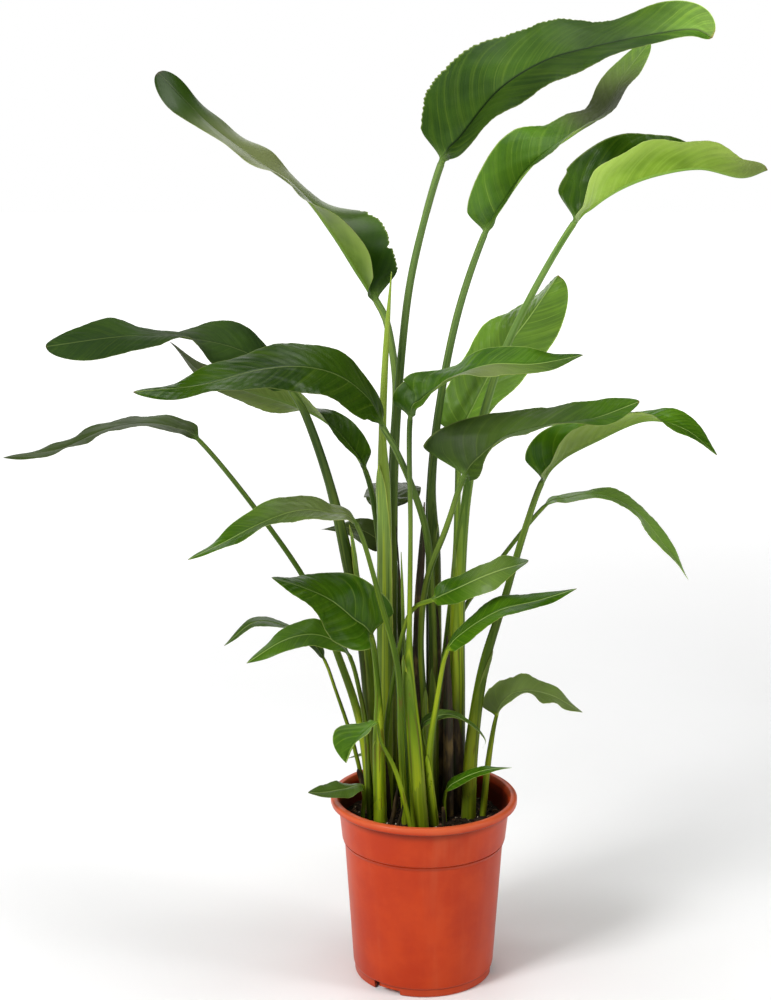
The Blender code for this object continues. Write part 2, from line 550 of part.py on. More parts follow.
        width=0.020, left=[5, 6, 0, 20, 22, 27, 35, 40, 16], right=[-2, -5, -5, -5, -9, -28, -20, -10, -5],
        curl=(0, 0), wave=(0.001, 3), shape=(0.45, 0.70), rows=12),
    "leaf_18": dict(
        stalk=[(-0.046, 0.001, 0.205), (-0.049, 0.001, 0.311), (-0.037, -0.022, 0.414), (-0.019, -0.026, 0.487)],
        rib=[(0.008, -0.045, 0.509), (0.036, -0.057, 0.526), (0.077, -0.075, 0.550), (0.121, -0.100, 0.571)],
        radius=[0.0035, 0.0035, 0.003, 0.003, 0.003],
        width=0.023, left=[60, 64, 42, 34, 35, 38, 45, 24, 10], right=[-50, -43, -54, -50, -53, -65, -46, -28, -10],
        curl=(0, 0), wave=(0.001, 3), shape=(0.42, 0.45), rows=9),
    "leaf_19": dict(
        stalk=[(0.013, -0.020, 0.205), (0.006, -0.030, 0.295), (0.016, -0.046, 0.387)],
        rib=[(0.026, -0.060, 0.448), (0.048, -0.070, 0.477), (0.089, -0.085, 0.507), (0.136, -0.100, 0.524),
             (0.178, -0.115, 0.542)],
        radius=[0.0055, 0.005, 0.0035, 0.003],
        width=0.023, left=[20, 22, 27, 34, 38, 27, 21, 17, 10], right=[-56, -41, -36, -25, -14, -20, -20, -34, -23],
        curl=(0, 0), wave=(0.001, 3), shape=(0.45, 0.80), rows=10),
    "leaf_20": dict(
        stalk=[(0.077, 0.012, 0.205), (0.083, 0.014, 0.274)],
        rib=[(0.093, 0.020, 0.335), (0.105, 0.025, 0.358), (0.127, 0.030, 0.367), (0.164, 0.042, 0.358),
             (0.208, 0.055, 0.330)],
        radius=[0.0045, 0.004, 0.0025],
        width=0.026, left=[36, 55, 45, 40, 33, 34, 26, 22, 10], right=[0, 11, 6, 8, -15, -18, -20, -20, -10],
        curl=(0, 0), sweep=(0.012, 0.012), wave=(0.001, 3), shape=(0.40, 0.70), rows=10),
    "leaf_21": dict(
        stalk=[(-0.016, -0.048, 0.205), (-0.035, -0.052, 0.284), (-0.055, -0.056, 0.329)],
        rib=[(-0.060, -0.060, 0.356), (-0.072, -0.065, 0.348), (-0.088, -0.073, 0.332), (-0.098, -0.080, 0.310)],
        radius=[0.003, 0.003, 0.002, 0.0018],
        width=0.034, left=[5, 25, 26, 27, 29, 32, 35, 37, 45], right=[0, -15, -5, 5, 20, 45, 60, 70, 70],
        curl=(0, 0), wave=(0.001, 2), shape=(0.60, 0.80), rows=8),
    "leaf_22": dict(
        stalk=[(-0.079, -0.008, 0.205)],
        rib=[(-0.078, -0.010, 0.252), (-0.101, -0.030, 0.257), (-0.126, -0.050, 0.260), (-0.146, -0.065, 0.265)],
        radius=[0.003, 0.0025],
        width=0.016, left=[-60, -22, -12, -24, -23, -21, -18, -14, -10], right=[0, -11, 5, 21, 22, 23, 35, 20, 10],
        curl=(0, 0), wave=(0.001, 2), shape=(0.45, 0.70), rows=8),
    "leaf_23": dict(
        stalk=[(0.027, -0.008, 0.205)],
        rib=[(0.028, -0.009, 0.245), (0.048, -0.016, 0.265), (0.079, -0.026, 0.281), (0.110, -0.035, 0.287)],
        radius=[0.0025, 0.002],
        width=0.012, left=[31, 32, 25, 27, 20, 11, 0, 0, 0], right=[-29, -28, -24, -24, -19, -15, -13, -5, 0],
        curl=(0, 0), wave=(0.001, 2), shape=(0.50, 0.90), rows=8),
    "leaf_24": dict(
        stalk=[(0.016, -0.001, 0.205), (0.007, -0.014, 0.279)],
        rib=[(-0.003, -0.020, 0.331), (0.005, -0.022, 0.347), (0.032, -0.028, 0.355), (0.060, -0.034, 0.342),
             (0.076, -0.038, 0.325), (0.073, -0.038, 0.314)],
        radius=[0.0025, 0.0022, 0.0018],
        width=0.011, left=[25, 27, 27, 17, 15, 12, 20, 10, 0], right=[-10, -23, -17, -10, 10, 18, 10, 0, 0],
        curl=(0, 0), wave=(0.0, 1), shape=(0.45, 1.30), rows=10),
    "leaf_25": dict(
        stalk=[(-0.019, 0.075, 0.205), (-0.025, 0.082, 0.351), (-0.033, 0.090, 0.472)],
        rib=[(-0.044, 0.100, 0.591), (-0.042, 0.120, 0.603), (-0.038, 0.150, 0.610), (-0.031, 0.180, 0.610),
             (-0.019, 0.210, 0.603)],
        radius=[0.0045, 0.0045, 0.004, 0.0035],
        width=0.038, left=[15, 10, 10, 5, 0], right=[15, 10, 10, 5, 0],
        curl=(-20, -20), wave=(0.002, 2), shape=(0.42, 0.80), rows=9),
    "leaf_26": dict(
        stalk=[(-0.020, 0.094, 0.205), (-0.030, 0.100, 0.358), (-0.038, 0.108, 0.465)],
        rib=[(-0.050, 0.112, 0.533), (-0.069, 0.116, 0.554), (-0.096, 0.122, 0.562), (-0.134, 0.130, 0.558)],
        radius=[0.0035, 0.0035, 0.003, 0.0025],
        width=0.022, left=[-40, -30, -25, -10], right=[50, 45, 30, 10],
        curl=(0, 0), wave=(0.001, 2), shape=(0.45, 1.20), rows=8),
    "leaf_27": dict(
        stalk=[(-0.034, 0.094, 0.205)],
        rib=[(-0.034, 0.097, 0.250), (-0.052, 0.101, 0.256), (-0.077, 0.104, 0.254), (-0.101, 0.104, 0.248)],
        radius=[0.002, 0.0018],
        width=0.009, left=[10, 5, 5, 0], right=[10, 10, 5, 0],
        curl=(0, 0), wave=(0.0, 1), shape=(0.50, 0.90), rows=7),
}

# Rolled young leaves, dry sheaths and cut stalks: (x, y, z, radius) from the soil up.

RODS = {
    "rolled_leaf_1": [(-0.051, 0.018, 0.205, 0.0100), (-0.050, 0.017, 0.373, 0.0100), (-0.050, 0.016, 0.545, 0.0095),
                      (-0.051, 0.015, 0.640, 0.0085), (-0.053, 0.014, 0.700, 0.0050), (-0.051, 0.012, 0.769, 0.0045),
                      (-0.047, 0.010, 0.840, 0.0035), (-0.042, 0.008, 0.907, 0.0006)],
    "rolled_leaf_2": [(-0.018, -0.002, 0.205, 0.0030), (-0.025, -0.013, 0.383, 0.0028),
                      (-0.028, -0.018, 0.502, 0.0022), (-0.030, -0.020, 0.564, 0.0005)],
    "dry_sheath_1": [(-0.008, 0.046, 0.205, 0.0070), (-0.008, 0.046, 0.363, 0.0065), (-0.006, 0.046, 0.484, 0.0055),
                     (-0.002, 0.045, 0.560, 0.0040), (0.000, 0.045, 0.613, 0.0008)],
    "dry_sheath_2": [(0.033, 0.011, 0.205, 0.0070), (0.031, 0.012, 0.347, 0.0060), (0.030, 0.014, 0.410, 0.0035),
                     (0.029, 0.017, 0.445, 0.0006)],
    "dry_stalk": [(-0.010, 0.020, 0.205, 0.0022), (-0.020, 0.022, 0.369, 0.0020), (-0.029, 0.022, 0.485, 0.0016),
                  (-0.036, 0.022, 0.587, 0.0006)],
    "cut_stalk_1": [(-0.041, -0.016, 0.205, 0.0030), (-0.036, -0.017, 0.235, 0.0028), (-0.033, -0.018, 0.260, 0.0010)],
    "cut_stalk_2": [(-0.034, -0.034, 0.205, 0.0020), (-0.030, -0.035, 0.222, 0.0018), (-0.027, -0.036, 0.238, 0.0008)],
    "cut_stalk_3": [(0.026, -0.028, 0.205, 0.0028), (0.025, -0.029, 0.220, 0.0026), (0.024, -0.030, 0.232, 0.0018)],
}


def make_rod(name, points, collection, finish):
    """A tapering rod as a bevelled curve, whose foot goes straight down into its hole."""
    places = [np.array(point[:3]) for point in points]
    along = unit(places[1] - places[0])
    radii = [points[0][3], *[point[3] for point in points]]
    path = [places[0] - along * BURIED, *places]
    count = max(6, round((points[-1][2] - points[0][2]) / STALK_STEP) + 3)
    at = np.concatenate([[0.0], np.linspace(1.0, len(path) - 1, count)])
    data = bpy.data.curves.new(name, "CURVE")
    data.dimensions = "3D"
    data.bevel_depth = 1.0
    data.bevel_resolution = 1
    data.use_fill_caps = True
    line = data.splines.new("POLY")
    line.points.add(len(at) - 1)
    placed = spline(path, at)
    wide = np.interp(at, range(len(radii)), radii)
    for point, place, radius in zip(line.points, placed, wide):
        point.co = (*place, 1.0)
        point.radius = radius
    obj = bpy.data.objects.new(name, data)
    collection.objects.link(obj)
    data.materials.append(finish)
    return Vector(path[0]), Vector(along), points[0][3]


def main():
    clear_scene()
    plant = new_collection(COLLECTION)
    clay = material("pot_terracotta_plastic", (0.50, 0.055, 0.014), 0.35)
    earth = material("soil_dark", (0.020, 0.012, 0.008), 0.95)
    green = material("leaf_green", (0.045, 0.130, 0.012), 0.35)
    young = material("leaf_young_green", (0.140, 0.260, 0.030), 0.4)
    dry = material("sheath_brown", (0.160, 0.085, 0.030), 0.6)
    make_pot(plant, clay)
    feet = {}
    for name, leaf in LEAVES.items():
        across = ACROSS if leaf["rows"] > 13 else ACROSS_SMALL
        add_object(name, leaf_mesh(name, leaf, leaf["rows"], across), plant, green)
        feet[name] = foot_of(leaf)
    for name, points in RODS.items():
        finish = dry if name.startswith(("dry", "cut")) else young
        feet[name] = make_rod(name, points, plant, finish)
    make_soil(plant, earth, feet)


main()
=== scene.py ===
"""Looks for the potted bird of paradise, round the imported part.

Each leaf is its own fine mesh over its CAD solid: the same stalk, rib and angles, with the groove and the
round rib of the middle vein, pleats along the side veins, thin margins, teeth and tears. The pot is turned
again with rounded edges, the soil is crumbled, and the young leaf is rolled. Metres, +Z up, but for the
lengths in the tables of leaves, rods and sheaths, which are in millimetres.
"""

import json
import math
from types import SimpleNamespace

import bmesh
import bpy
import numpy as np
from mathutils import Matrix, Vector, noise

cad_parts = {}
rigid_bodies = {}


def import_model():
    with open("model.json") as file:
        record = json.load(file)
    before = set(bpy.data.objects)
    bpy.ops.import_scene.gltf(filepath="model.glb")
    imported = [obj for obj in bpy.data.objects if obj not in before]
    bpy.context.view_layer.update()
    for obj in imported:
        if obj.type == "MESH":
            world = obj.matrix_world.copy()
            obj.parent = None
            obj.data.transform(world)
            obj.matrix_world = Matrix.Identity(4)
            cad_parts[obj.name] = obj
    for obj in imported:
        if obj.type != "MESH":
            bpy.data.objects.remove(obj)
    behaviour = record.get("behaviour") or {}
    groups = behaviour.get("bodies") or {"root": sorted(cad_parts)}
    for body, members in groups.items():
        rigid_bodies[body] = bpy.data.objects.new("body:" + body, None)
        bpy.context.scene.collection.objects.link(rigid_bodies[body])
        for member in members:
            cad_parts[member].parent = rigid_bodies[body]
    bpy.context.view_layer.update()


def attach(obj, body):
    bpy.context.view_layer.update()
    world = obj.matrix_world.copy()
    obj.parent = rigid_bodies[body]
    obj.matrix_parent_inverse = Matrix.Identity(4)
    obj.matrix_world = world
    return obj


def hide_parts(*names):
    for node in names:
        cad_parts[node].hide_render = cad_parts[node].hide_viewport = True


# Pot, as radii and heights.
RIM_RADIUS = 0.120
RIM_INSIDE = 0.1114
POT_HEIGHT = 0.239
RIM_DEPTH = 0.0095
UNDER_RIM = POT_HEIGHT - RIM_DEPTH
WALL = 0.0016
COLLAR_TOP = 0.110
COLLAR_FOOT = 0.1052
COLLAR_FOOT_Z = 0.182
STEP = 0.0033
STEP_Z = 0.176
BODY_FOOT = 0.0912
FOOT_RADIUS = 0.0897
FOOT_HEIGHT = 0.0105
FOOT_WALL = 0.005
FLOOR_UNDER = 0.006
FLOOR_THICKNESS = 0.0018
PAD_RADIUS = 0.018
POT_SIDES = 160
FOOT_GAPS = 3
FOOT_GAP_WIDTH = 0.032
FOOT_GAP_HEIGHT = 0.006
FOOT_GAP_ANGLE = -120.5
FOOT_GAP_DEPTH = 0.012
CUT_ROUNDING = 0.0015
DRAIN_SLOT_WIDTH = 0.009
DRAIN_SLOT_HEIGHT = 0.0115
DRAIN_SLOT_STEP = -11.6
DRAIN_SLOT_DEPTH = 0.020
DRAIN_HOLES = 6
DRAIN_HOLE_RADIUS = 0.006
DRAIN_RING = 0.060

# Soil, and how the stalks stand in it.
SOIL_TOP = 0.205
SOIL_GAP = 0.0005
SOIL_RINGS = 64
SOIL_SECTORS = 180
BURIED = 0.024
CHIP_REACH = 0.101

# Crumbs on the soil: how many, their least and greatest half-length, their height to length, and a seed.
CHIPS = {
    "soil_bark": (210, 0.0012, 0.0045, 0.45, 3),
    "soil_crumbs": (260, 0.0010, 0.0030, 0.8, 5),
    "soil_specks": (150, 0.0006, 0.0016, 0.8, 8),
}

# Leaf sections and their fine relief. The stalk turns into the blade over the first share of the blade's
# length. The depth and width of the channel up a stalk are shares of its radius, and it grows between two
# heights. The camber is in degrees. The first points of the mesh beside the rib stand NEAR_RIB from it.
BLADE_THICKNESS = 0.0007
MARGIN_THICKNESS = 0.0003
TIP_WIDTH = 0.0010
CHANNEL_DEPTH = 0.22
CHANNEL_WIDTH = 0.34
CHANNEL_FROM = 0.24
CHANNEL_FULL = 0.40
BASE_BLEND = 0.06
STALK_STEP = 0.012
CAMBER = 7.0
NEAR_RIB = (0.0, 0.0005, 0.0010, 0.0017, 0.0027, 0.0040)
RIB_WIDTH = 0.0020
GROOVE_DEPTH = 0.0007
GROOVE_WIDTH = 0.0011
PLEAT = 0.00032
RUFFLE = 0.0005
RUFFLE_LENGTH = 0.023
FRAY = 0.0003
TOOTH_STEP = 0.0052
TOOTH_DEPTH = 0.0036
TEAR_DEPTH = 0.0090

# Rolled leaves and sheaths.
RING_POINTS = 44
ROLL_STEP = 0.005
SHEATH_STEP = 0.004
SHEATH_ACROSS = 15
SHEATH_GAP = 0.0003
DRY_SHEATH_GAP = 0.0012
SHEATH_THICKNESS = 0.0004

# Camera and studio. The sky's brightness goes from that near the horizon to that overhead, between two
# heights of a direction of length 1, and gloss sees a share of it.
CAMERA_PLACE = (-0.0494, -2.153, 1.083)
CAMERA_PITCH = 12.0
CAMERA_LENS = 63.75
FLOOR_SIZE = 40.0
FLOOR_DROP = 0.0005
FLOOR_GLOW = 1.05
SKY_LOW = 1.0
SKY_HIGH = 0.20
SKY_FROM = 0.075
SKY_TO = 0.30
FLAG_DIM = 0.25

# Soft boxes: where each stands, the point it faces, its two sides, and its watts.
LAMPS = {
    "key_light": ((-1.9, -1.7, 2.2), (0.0, 0.0, 0.7), (0.8, 1.3), 74.0),
    "side_light": ((2.3, -1.0, 1.4), (0.0, 0.0, 0.6), (0.5, 1.8), 19.0),
    "top_light": ((0.1, -0.1, 2.8), (0.0, 0.0, 0.6), (1.2, 1.2), 38.0),
    "back_light": ((-0.6, 2.4, 1.8), (0.0, 0.0, 0.7), (2.0, 1.4), 15.0),
}

# Colours.
UPPER_DEEP = (0.014, 0.046, 0.0010)
UPPER_FRESH = (0.036, 0.092, 0.0025)
UPPER_PALE = (0.078, 0.150, 0.006)
VEIN_PALE = (0.170, 0.260, 0.030)
RIB_PALE = (0.260, 0.360, 0.090)
RIB_GROOVE_SHADE = (0.006, 0.020, 0.001)
RIB_GREEN = (0.130, 0.230, 0.035)
UNDER_DEEP = (0.070, 0.130, 0.006)
UNDER_FRESH = (0.140, 0.235, 0.018)
UNDER_PALE = (0.250, 0.350, 0.060)
GREY_AND_SHEEN = (0.105, 0.120, 0.045)
MARGIN_PALE = (0.230, 0.300, 0.075)
MARGIN_BROWN = (0.110, 0.060, 0.022)
STALK_FOOT = (0.210, 0.300, 0.004)
STALK_MIDDLE = (0.110, 0.190, 0.006)
STALK_HIGH = (0.080, 0.138, 0.034)
STALK_PALE = (0.280, 0.380, 0.050)
STALK_YELLOW = (0.400, 0.480, 0.012)
STALK_BROWN = (0.120, 0.060, 0.012)
STALK_DEEP = (0.020, 0.060, 0.002)
SHEATH_HIGH = (0.110, 0.180, 0.030)
SHEATH_PALE = (0.330, 0.390, 0.060)
YOUNG_LOW = (0.085, 0.185, 0.006)
YOUNG_HIGH = (0.180, 0.275, 0.018)
YOUNG_PALE = (0.320, 0.400, 0.065)
DRY_DEEP = (0.006, 0.006, 0.003)
DRY_TAN = (0.040, 0.022, 0.008)
DRY_STRAW = (0.200, 0.130, 0.035)
DRY_GREEN = (0.020, 0.036, 0.004)
POT_DEEP = (0.410, 0.029, 0.0015)
POT_BRIGHT = (0.480, 0.042, 0.0030)
POT_PAINTED_SHADE = (0.060, 0.008, 0.003)
POT_RIM_PAINTED_LIGHT = (0.640, 0.130, 0.045)
POT_CHALK = (0.560, 0.120, 0.045)
SOIL_DEEP = (0.005, 0.004, 0.003)
SOIL_BROWN = (0.045, 0.026, 0.015)
SOIL_FIBRE = (0.200, 0.130, 0.075)
BARK_DEEP = (0.025, 0.012, 0.006)
BARK_PALE = (0.200, 0.110, 0.055)
SPECK_DEEP = (0.300, 0.230, 0.150)
SPECK_PALE = (0.700, 0.620, 0.480)

# What a leaf is where its row doesn't say otherwise. A list is spread evenly from base to tip.
PLAIN_LEAF = dict(
    swell=1,  # how much wider than its outline the blade is
    curl_left=0,  # degrees that a half turns on as it nears its edge
    curl_right=0,
    sweep_left=0,  # how far back the lobe at the base reaches
    sweep_right=0,
    edge_left="plain",  # or teeth, or torn
    edge_right="plain",
    ruffle=1,  # the margin's small waves, as a multiple of RUFFLE
    steady=0.02,  # how far ahead and back along the points the leaf's direction is taken
    # light paints light and shade on the blade: above 0 painted light and highlights, below 0 painted shade.
    light=0,  # added brightness, or light_left and light_right for each half
    # The greying below is partly the blade's own grey and partly a painted sheen, as in the middle of leaf_18
    # and at the tip of leaf_01.
    grey_and_sheen=0,  # how grey the blade is, or grey_and_sheen_left and grey_and_sheen_right
    # Painted light and shade up the stalk: darker below 0, brighter above.
    painted_shading=0,  # added brightness up the stalk
    lines=0.7,  # how clear the side veins are
    dull=0,  # added roughness
    # Below 0 the middle vein's groove is darkened as a painted shade.
    rib_paleness_and_groove_shade=0.55,  # how pale the middle vein is, or how dark below 0
)

# Mesh and relief of a blade whose half-width is over the first number: the step along it, the points
# across each half, the spacing of its side veins, its pleats' depth as a multiple of PLEAT, and the
# height of its slow buckles.
FINENESS = (
    (40, dict(step=1.6, across=26, veins=15, pleat=1, buckle=0.8)),
    (28, dict(step=2, across=20, veins=11, pleat=0.7, buckle=0.6)),
    (0, dict(step=2.6, across=14, veins=8, pleat=0.45, buckle=0.3)),
)

# The keys in the tables that are lengths.
LENGTHS = (
    "stalk", "rib", "radius", "width", "wave", "sweep_left", "sweep_right", "step", "veins", "buckle",
    "top", "flare",
)

# stalk and rib are (x, y, z) points from the soil to the blade, and from the blade's base to its tip.
# radius is the stalk's, from soil to blade. width is the greatest half-width of the blade, and shape the
# powers that shape its outline at the base and the tip. wave is the height of the margin's waves, and
# waves their number. left and right are the angles in degrees that the two halves rise over level, from
# base to tip, seen along the leaf from its base.
# The brightness lists of each blade are painted light and shade, with painted highlights at the tip of
# leaf_01, near the base of the right half of leaf_03 and in the middle of leaf_18.
LEAVES = {
    "leaf_01": dict(
        stalk=[(-40, 40, 205), (-41, 40, 365), (-40, 38, 540), (-38, 36, 670), (-29, 32, 810),
               (-15, 24, 915)],
        rib=[(17, 12, 1035), (42, 0, 1070), (85, -15, 1122), (136, -30, 1154), (189, -45, 1169),
             (244, -60, 1180), (298, -75, 1187), (321, -82, 1178)],
        radius=[7.5, 6.5, 6, 5.5, 5, 4.8, 4.5], width=67, shape=(0.3, 0.45), wave=2, waves=4, sweep_left=8,
        sweep_right=4, curl_left=[0, 0, 0, 0, 0, 20, 60],
        left=[50, 90, 90, 58, 47, 33, 33, 45, 55], right=[-22, -25, -27, -32, -30, -23, -17, -14, -18],
        edge_left="teeth", painted_shading=[-0.7, -0.6, -0.5, -0.3, -0.1, 0.1, 0.2],
        light_left=[-0.15, -0.1, -0.15, -0.25, -0.3, 0.2, 2.6],
        light_right=[-0.4, -0.5, -0.5, -0.5, -0.4, -0.1, 1], grey_and_sheen_left=[0, 0, 0, 0, 0, 0.1, 0.4],
        rib_paleness_and_groove_shade=-0.9, lines=0.9, pleat=0.4, dull=0.6, steady=0.6,
        swell=[0.85, 1.1, 1.02, 1, 1, 1, 1, 1, 1]),
    "leaf_02": dict(
        stalk=[(14, 68, 205), (14, 68, 365), (12, 66, 535), (9, 62, 630), (19, 60, 737), (41, 65, 850)],
        rib=[(74, 80, 947), (100, 90, 990), (137, 100, 1036), (188, 115, 1071), (226, 130, 1096),
             (250, 150, 1139), (286, 165, 1184)],
        radius=[10.5, 10.5, 10, 6, 5, 4.8, 4.2], width=52, shape=(0.36, 0.7), wave=3, waves=4, sweep_left=6,
        left=[20, 42, 50, 46, 20, 17, 18, 20, 40], right=[15, 19, 19, 15, 14, 15, 5, -8, -20],
        painted_shading=[-0.75, -0.7, -0.45, -0.2, 0.2, 0.5], light=[0.2, 0.4, 0.6, 0.7, 0.4, -0.5, -0.55, 0.6, 1.1],
        grey_and_sheen=[0, 0, 0, 0, 0.1, 0.8, 0.8, 0.4, 0.2], pleat=0.5, dull=0.5, rib_paleness_and_groove_shade=0.15,
        swell=[1, 1, 1, 1, 1, 1, 1, 1.15, 1.3]),
    "leaf_03": dict(
        stalk=[(44, 30, 205), (42, 30, 368), (43, 29, 502), (51, 26, 613), (66, 22, 704), (92, 16, 797),
               (131, 2, 886)],
        rib=[(175, -16, 966), (198, -22, 988), (230, -30, 1009), (270, -38, 1024), (319, -45, 1031),
             (366, -52, 1021), (396, -55, 1030)],
        radius=[11.5, 11.5, 9.5, 6.5, 5.5, 5, 4.5, 4], width=60, shape=(0.3, 0.55), wave=3, waves=4,
        sweep_left=8,
        left=[35, 80, 85, 75, 52, 36, 30, 34, 40], right=[0, 10, 33, 40, 42, 40, 42, 45, 60],
        painted_shading=[-0.2, -0.93, -0.3, 0, 0, 0.1, 0.2, 0.3, 0.4, 0.5, 0.6, 0.7, 0.8, 0.9, 0.9],
        light_left=[0, 0, -0.1, -0.2, -0.2, -0.2], light_right=[0.1, 1.3, 0.9, 0.6, 0.4, 0.2],
        grey_and_sheen_right=[0.1, 0.3, 0, 0, 0.4, 0.9], pleat=0.7),
    "leaf_04": dict(
        stalk=[(-46, 62, 205), (-46, 64, 357), (-45, 66, 532), (-39, 68, 676), (-36, 72, 759),
               (-46, 78, 831)],
        rib=[(-60, 82, 863), (-85, 90, 900), (-117, 100, 949), (-157, 115, 999), (-215, 130, 1040),
             (-276, 147, 1085), (-339, 165, 1147)],
        radius=[7.5, 6.5, 6, 5.5, 5, 4.8, 4.5], width=50, shape=(0.28, 0.45), wave=3, waves=5,
        sweep_right=15,
        left=[20, 48, 33, 13, 10, 0, 0, -30, -50], right=[70, 78, 45, -5, 3, 10, 5, 10, 40],
        edge_right="torn", painted_shading=[-0.75, -0.7, -0.4, 0, 0.2],
        light=[-0.1, -0.1, -0.1, 0.1, 0.2, 0.2, 0, -0.55, -0.6],
        grey_and_sheen=[0, 0, 0.2, 0.7, 1.1, 1.1, 0.8, 0.1, 0], pleat=0.04, buckle=0.2, ruffle=0.25, lines=0.02,
        dull=0.3, rib_paleness_and_groove_shade=0.2, swell=[1, 1.15, 1.25, 1.15, 1, 1, 1, 1, 1]),
    "leaf_05": dict(
        stalk=[(-61, 48, 205), (-67, 45, 323), (-77, 38, 433), (-97, 20, 544), (-118, 0, 644),
               (-144, -18, 729)],
        rib=[(-163, -25, 766), (-189, -30, 797), (-230, -40, 820), (-276, -50, 832), (-316, -62, 839),
             (-373, -80, 837), (-445, -100, 829)],
        radius=[10, 10, 9.5, 8.5, 6, 5.5, 4.5], width=48, shape=(0.36, 0.5), wave=3, waves=3,
        left=[-40, -45, -40, -28, 5, -10, -27, -42, -50], right=[17, 25, 36, 25, 2, 2, 33, 28, 20],
        painted_shading=[-0.3, -0.6, -0.6, -0.45, -0.3, 0], light=[-0.45, -0.5, -0.5, -0.55, -0.5, -0.5, -0.4],
        grey_and_sheen=[0, 0, 0, 0.2, 0, 0, 0], pleat=0.5, lines=0.5, dull=0.9, rib_paleness_and_groove_shade=0.3),
    "leaf_06": dict(
        stalk=[(14, 26, 205), (13, 23, 374), (9, 12, 495), (2, -4, 582), (-17, -24, 648), (-38, -50, 700)],
        rib=[(-52, -65, 728), (-68, -70, 762), (-103, -90, 793), (-147, -110, 807), (-199, -130, 805),
             (-261, -150, 791), (-334, -175, 787)],
        radius=[5.5, 5.5, 5, 4.5, 4.2, 4, 4], width=48, shape=(0.38, 0.7), wave=2, waves=4, sweep_left=10,
        sweep_right=15,
        left=[-40, -47, -42, -33, -29, -17, -6, -28, -40], right=[18, 25, 35, 31, 23, 20, 22, 2, 5],
        painted_shading=[-0.7, -0.6, -0.3, 0, 0.1], light=[-0.4, -0.45, -0.5, -0.4, -0.2], pleat=0.6, lines=1),
    "leaf_07": dict(
        stalk=[(-33, 80, 205), (-41, 80, 353), (-51, 80, 488), (-63, 82, 594)],
        rib=[(-75, 90, 644), (-95, 92, 677), (-127, 96, 709), (-172, 101, 730), (-230, 107, 747),
             (-285, 113, 769), (-327, 120, 808)],
        radius=[5, 5, 4.5, 4, 3.5], width=32, shape=(0.42, 0.75), wave=2, waves=3,
        left=[15, 0, 30, 60, 60, 50, 40], right=[60, 45, 0, -45, -50, -40, -20],
        painted_shading=[-0.8, -0.7, -0.4, -0.2], light=[0, -0.1, -0.2, -0.6, -0.8], grey_and_sheen=[0, 0.1, 0.3, 0.6, 0.8]),
    "leaf_08": dict(
        stalk=[(-68, 12, 205), (-80, 16, 319), (-108, 24, 411), (-148, 34, 507), (-215, 42, 606)],
        rib=[(-284, 50, 691), (-315, 55, 707), (-354, 60, 712), (-406, 70, 702), (-467, 82, 675),
             (-543, 95, 661)],
        radius=[5.5, 5.5, 5, 3.5, 3.3, 3], width=32, shape=(0.42, 0.75), wave=2, waves=5,
        left=[-10, 0, 0, 0, -10, -5, -8, -20, -15], right=[30, 17, 11, 8, 16, 20, 18, 6, 8],
        painted_shading=[-0.2, -0.3, -0.25, -0.1], light=[-0.3, -0.45, -0.5, -0.5], grey_and_sheen=0.5, pleat=0.15, lines=0.1,
        dull=0.6),
    "leaf_09": dict(
        stalk=[(-24, -20, 205), (-30, -39, 324), (-34, -50, 421), (-54, -62, 507)],
        rib=[(-84, -75, 611), (-116, -83, 627), (-154, -92, 632), (-196, -105, 620), (-239, -118, 600),
             (-282, -130, 581)],
        radius=[4.5, 4.2, 4, 3.5, 3], width=30, shape=(0.42, 0.85), wave=1.5, waves=4,
        left=[-25, -5, -10, -10, 0, 0, -10, -8, -15], right=[18, 14, 22, 27, 33, 34, 22, 3, 10],
        painted_shading=[0, -0.1, -0.2, -0.2], light=0.55, grey_and_sheen=[0.9, 0.8, 0.5, 0.2, 0, 0]),
    "leaf_10": dict(
        stalk=[(-56, -10, 205), (-58, -14, 310), (-59, -24, 386)],
        rib=[(-67, -50, 464), (-89, -67, 492), (-116, -85, 520), (-148, -105, 541), (-184, -125, 558)],
        radius=[8.5, 8, 4.2, 3.5], width=47, shape=(0.38, 0.75), wave=1.5, waves=3, sweep_left=10,
        sweep_right=20,
        left=[-40, -45, -55, -62, -55, -40, -33, -30, -20], right=[95, 92, 85, 72, 42, 22, 12, 8, 5],
        painted_shading=[0.2, 0.1, -0.3], light=[0.2, 0.15, 0.1, 0.15, 0.2], lines=0.9),
    "leaf_11": dict(
        stalk=[(-70, 0, 205), (-74, 1, 320), (-83, -6, 382)],
        rib=[(-94, -15, 427), (-111, -21, 448), (-141, -31, 461), (-177, -47, 457), (-220, -65, 434)],
        radius=[3.5, 3.5, 3, 3], width=24, shape=(0.45, 0.85), wave=1, waves=3,
        left=[-15, -15, -25, -26, -22, -25, -33, -40, -25], right=[20, 20, 35, 43, 30, 19, 6, 5, 10],
        painted_shading=[-0.3, -0.4, -0.4], light=0.5, grey_and_sheen=0.1),
    "leaf_12": dict(
        stalk=[(-71, 30, 205), (-92, 36, 296), (-115, 41, 368)],
        rib=[(-128, 44, 404), (-147, 48, 430), (-178, 55, 446), (-219, 63, 450), (-261, 75, 414)],
        radius=[3, 2.8, 2.2, 2.2], width=18, shape=(0.45, 0.8), wave=1, waves=3,
        left=[0, 0, 0, 10, 0, -10, -25, -25, -15], right=[10, 10, 0, -8, 0, 5, 30, 28, 15],
        painted_shading=[-0.3, -0.3, -0.3], light=0.1, grey_and_sheen=0.2),
    "leaf_13": dict(
        stalk=[(-5, -30, 205), (-13, -32, 316), (-21, -35, 403), (-20, -38, 469), (-19, -43, 597)],
        rib=[(-20, -48, 734), (-5, -48, 760), (34, -47, 787), (77, -45, 801), (131, -42, 801),
             (188, -36, 811)],
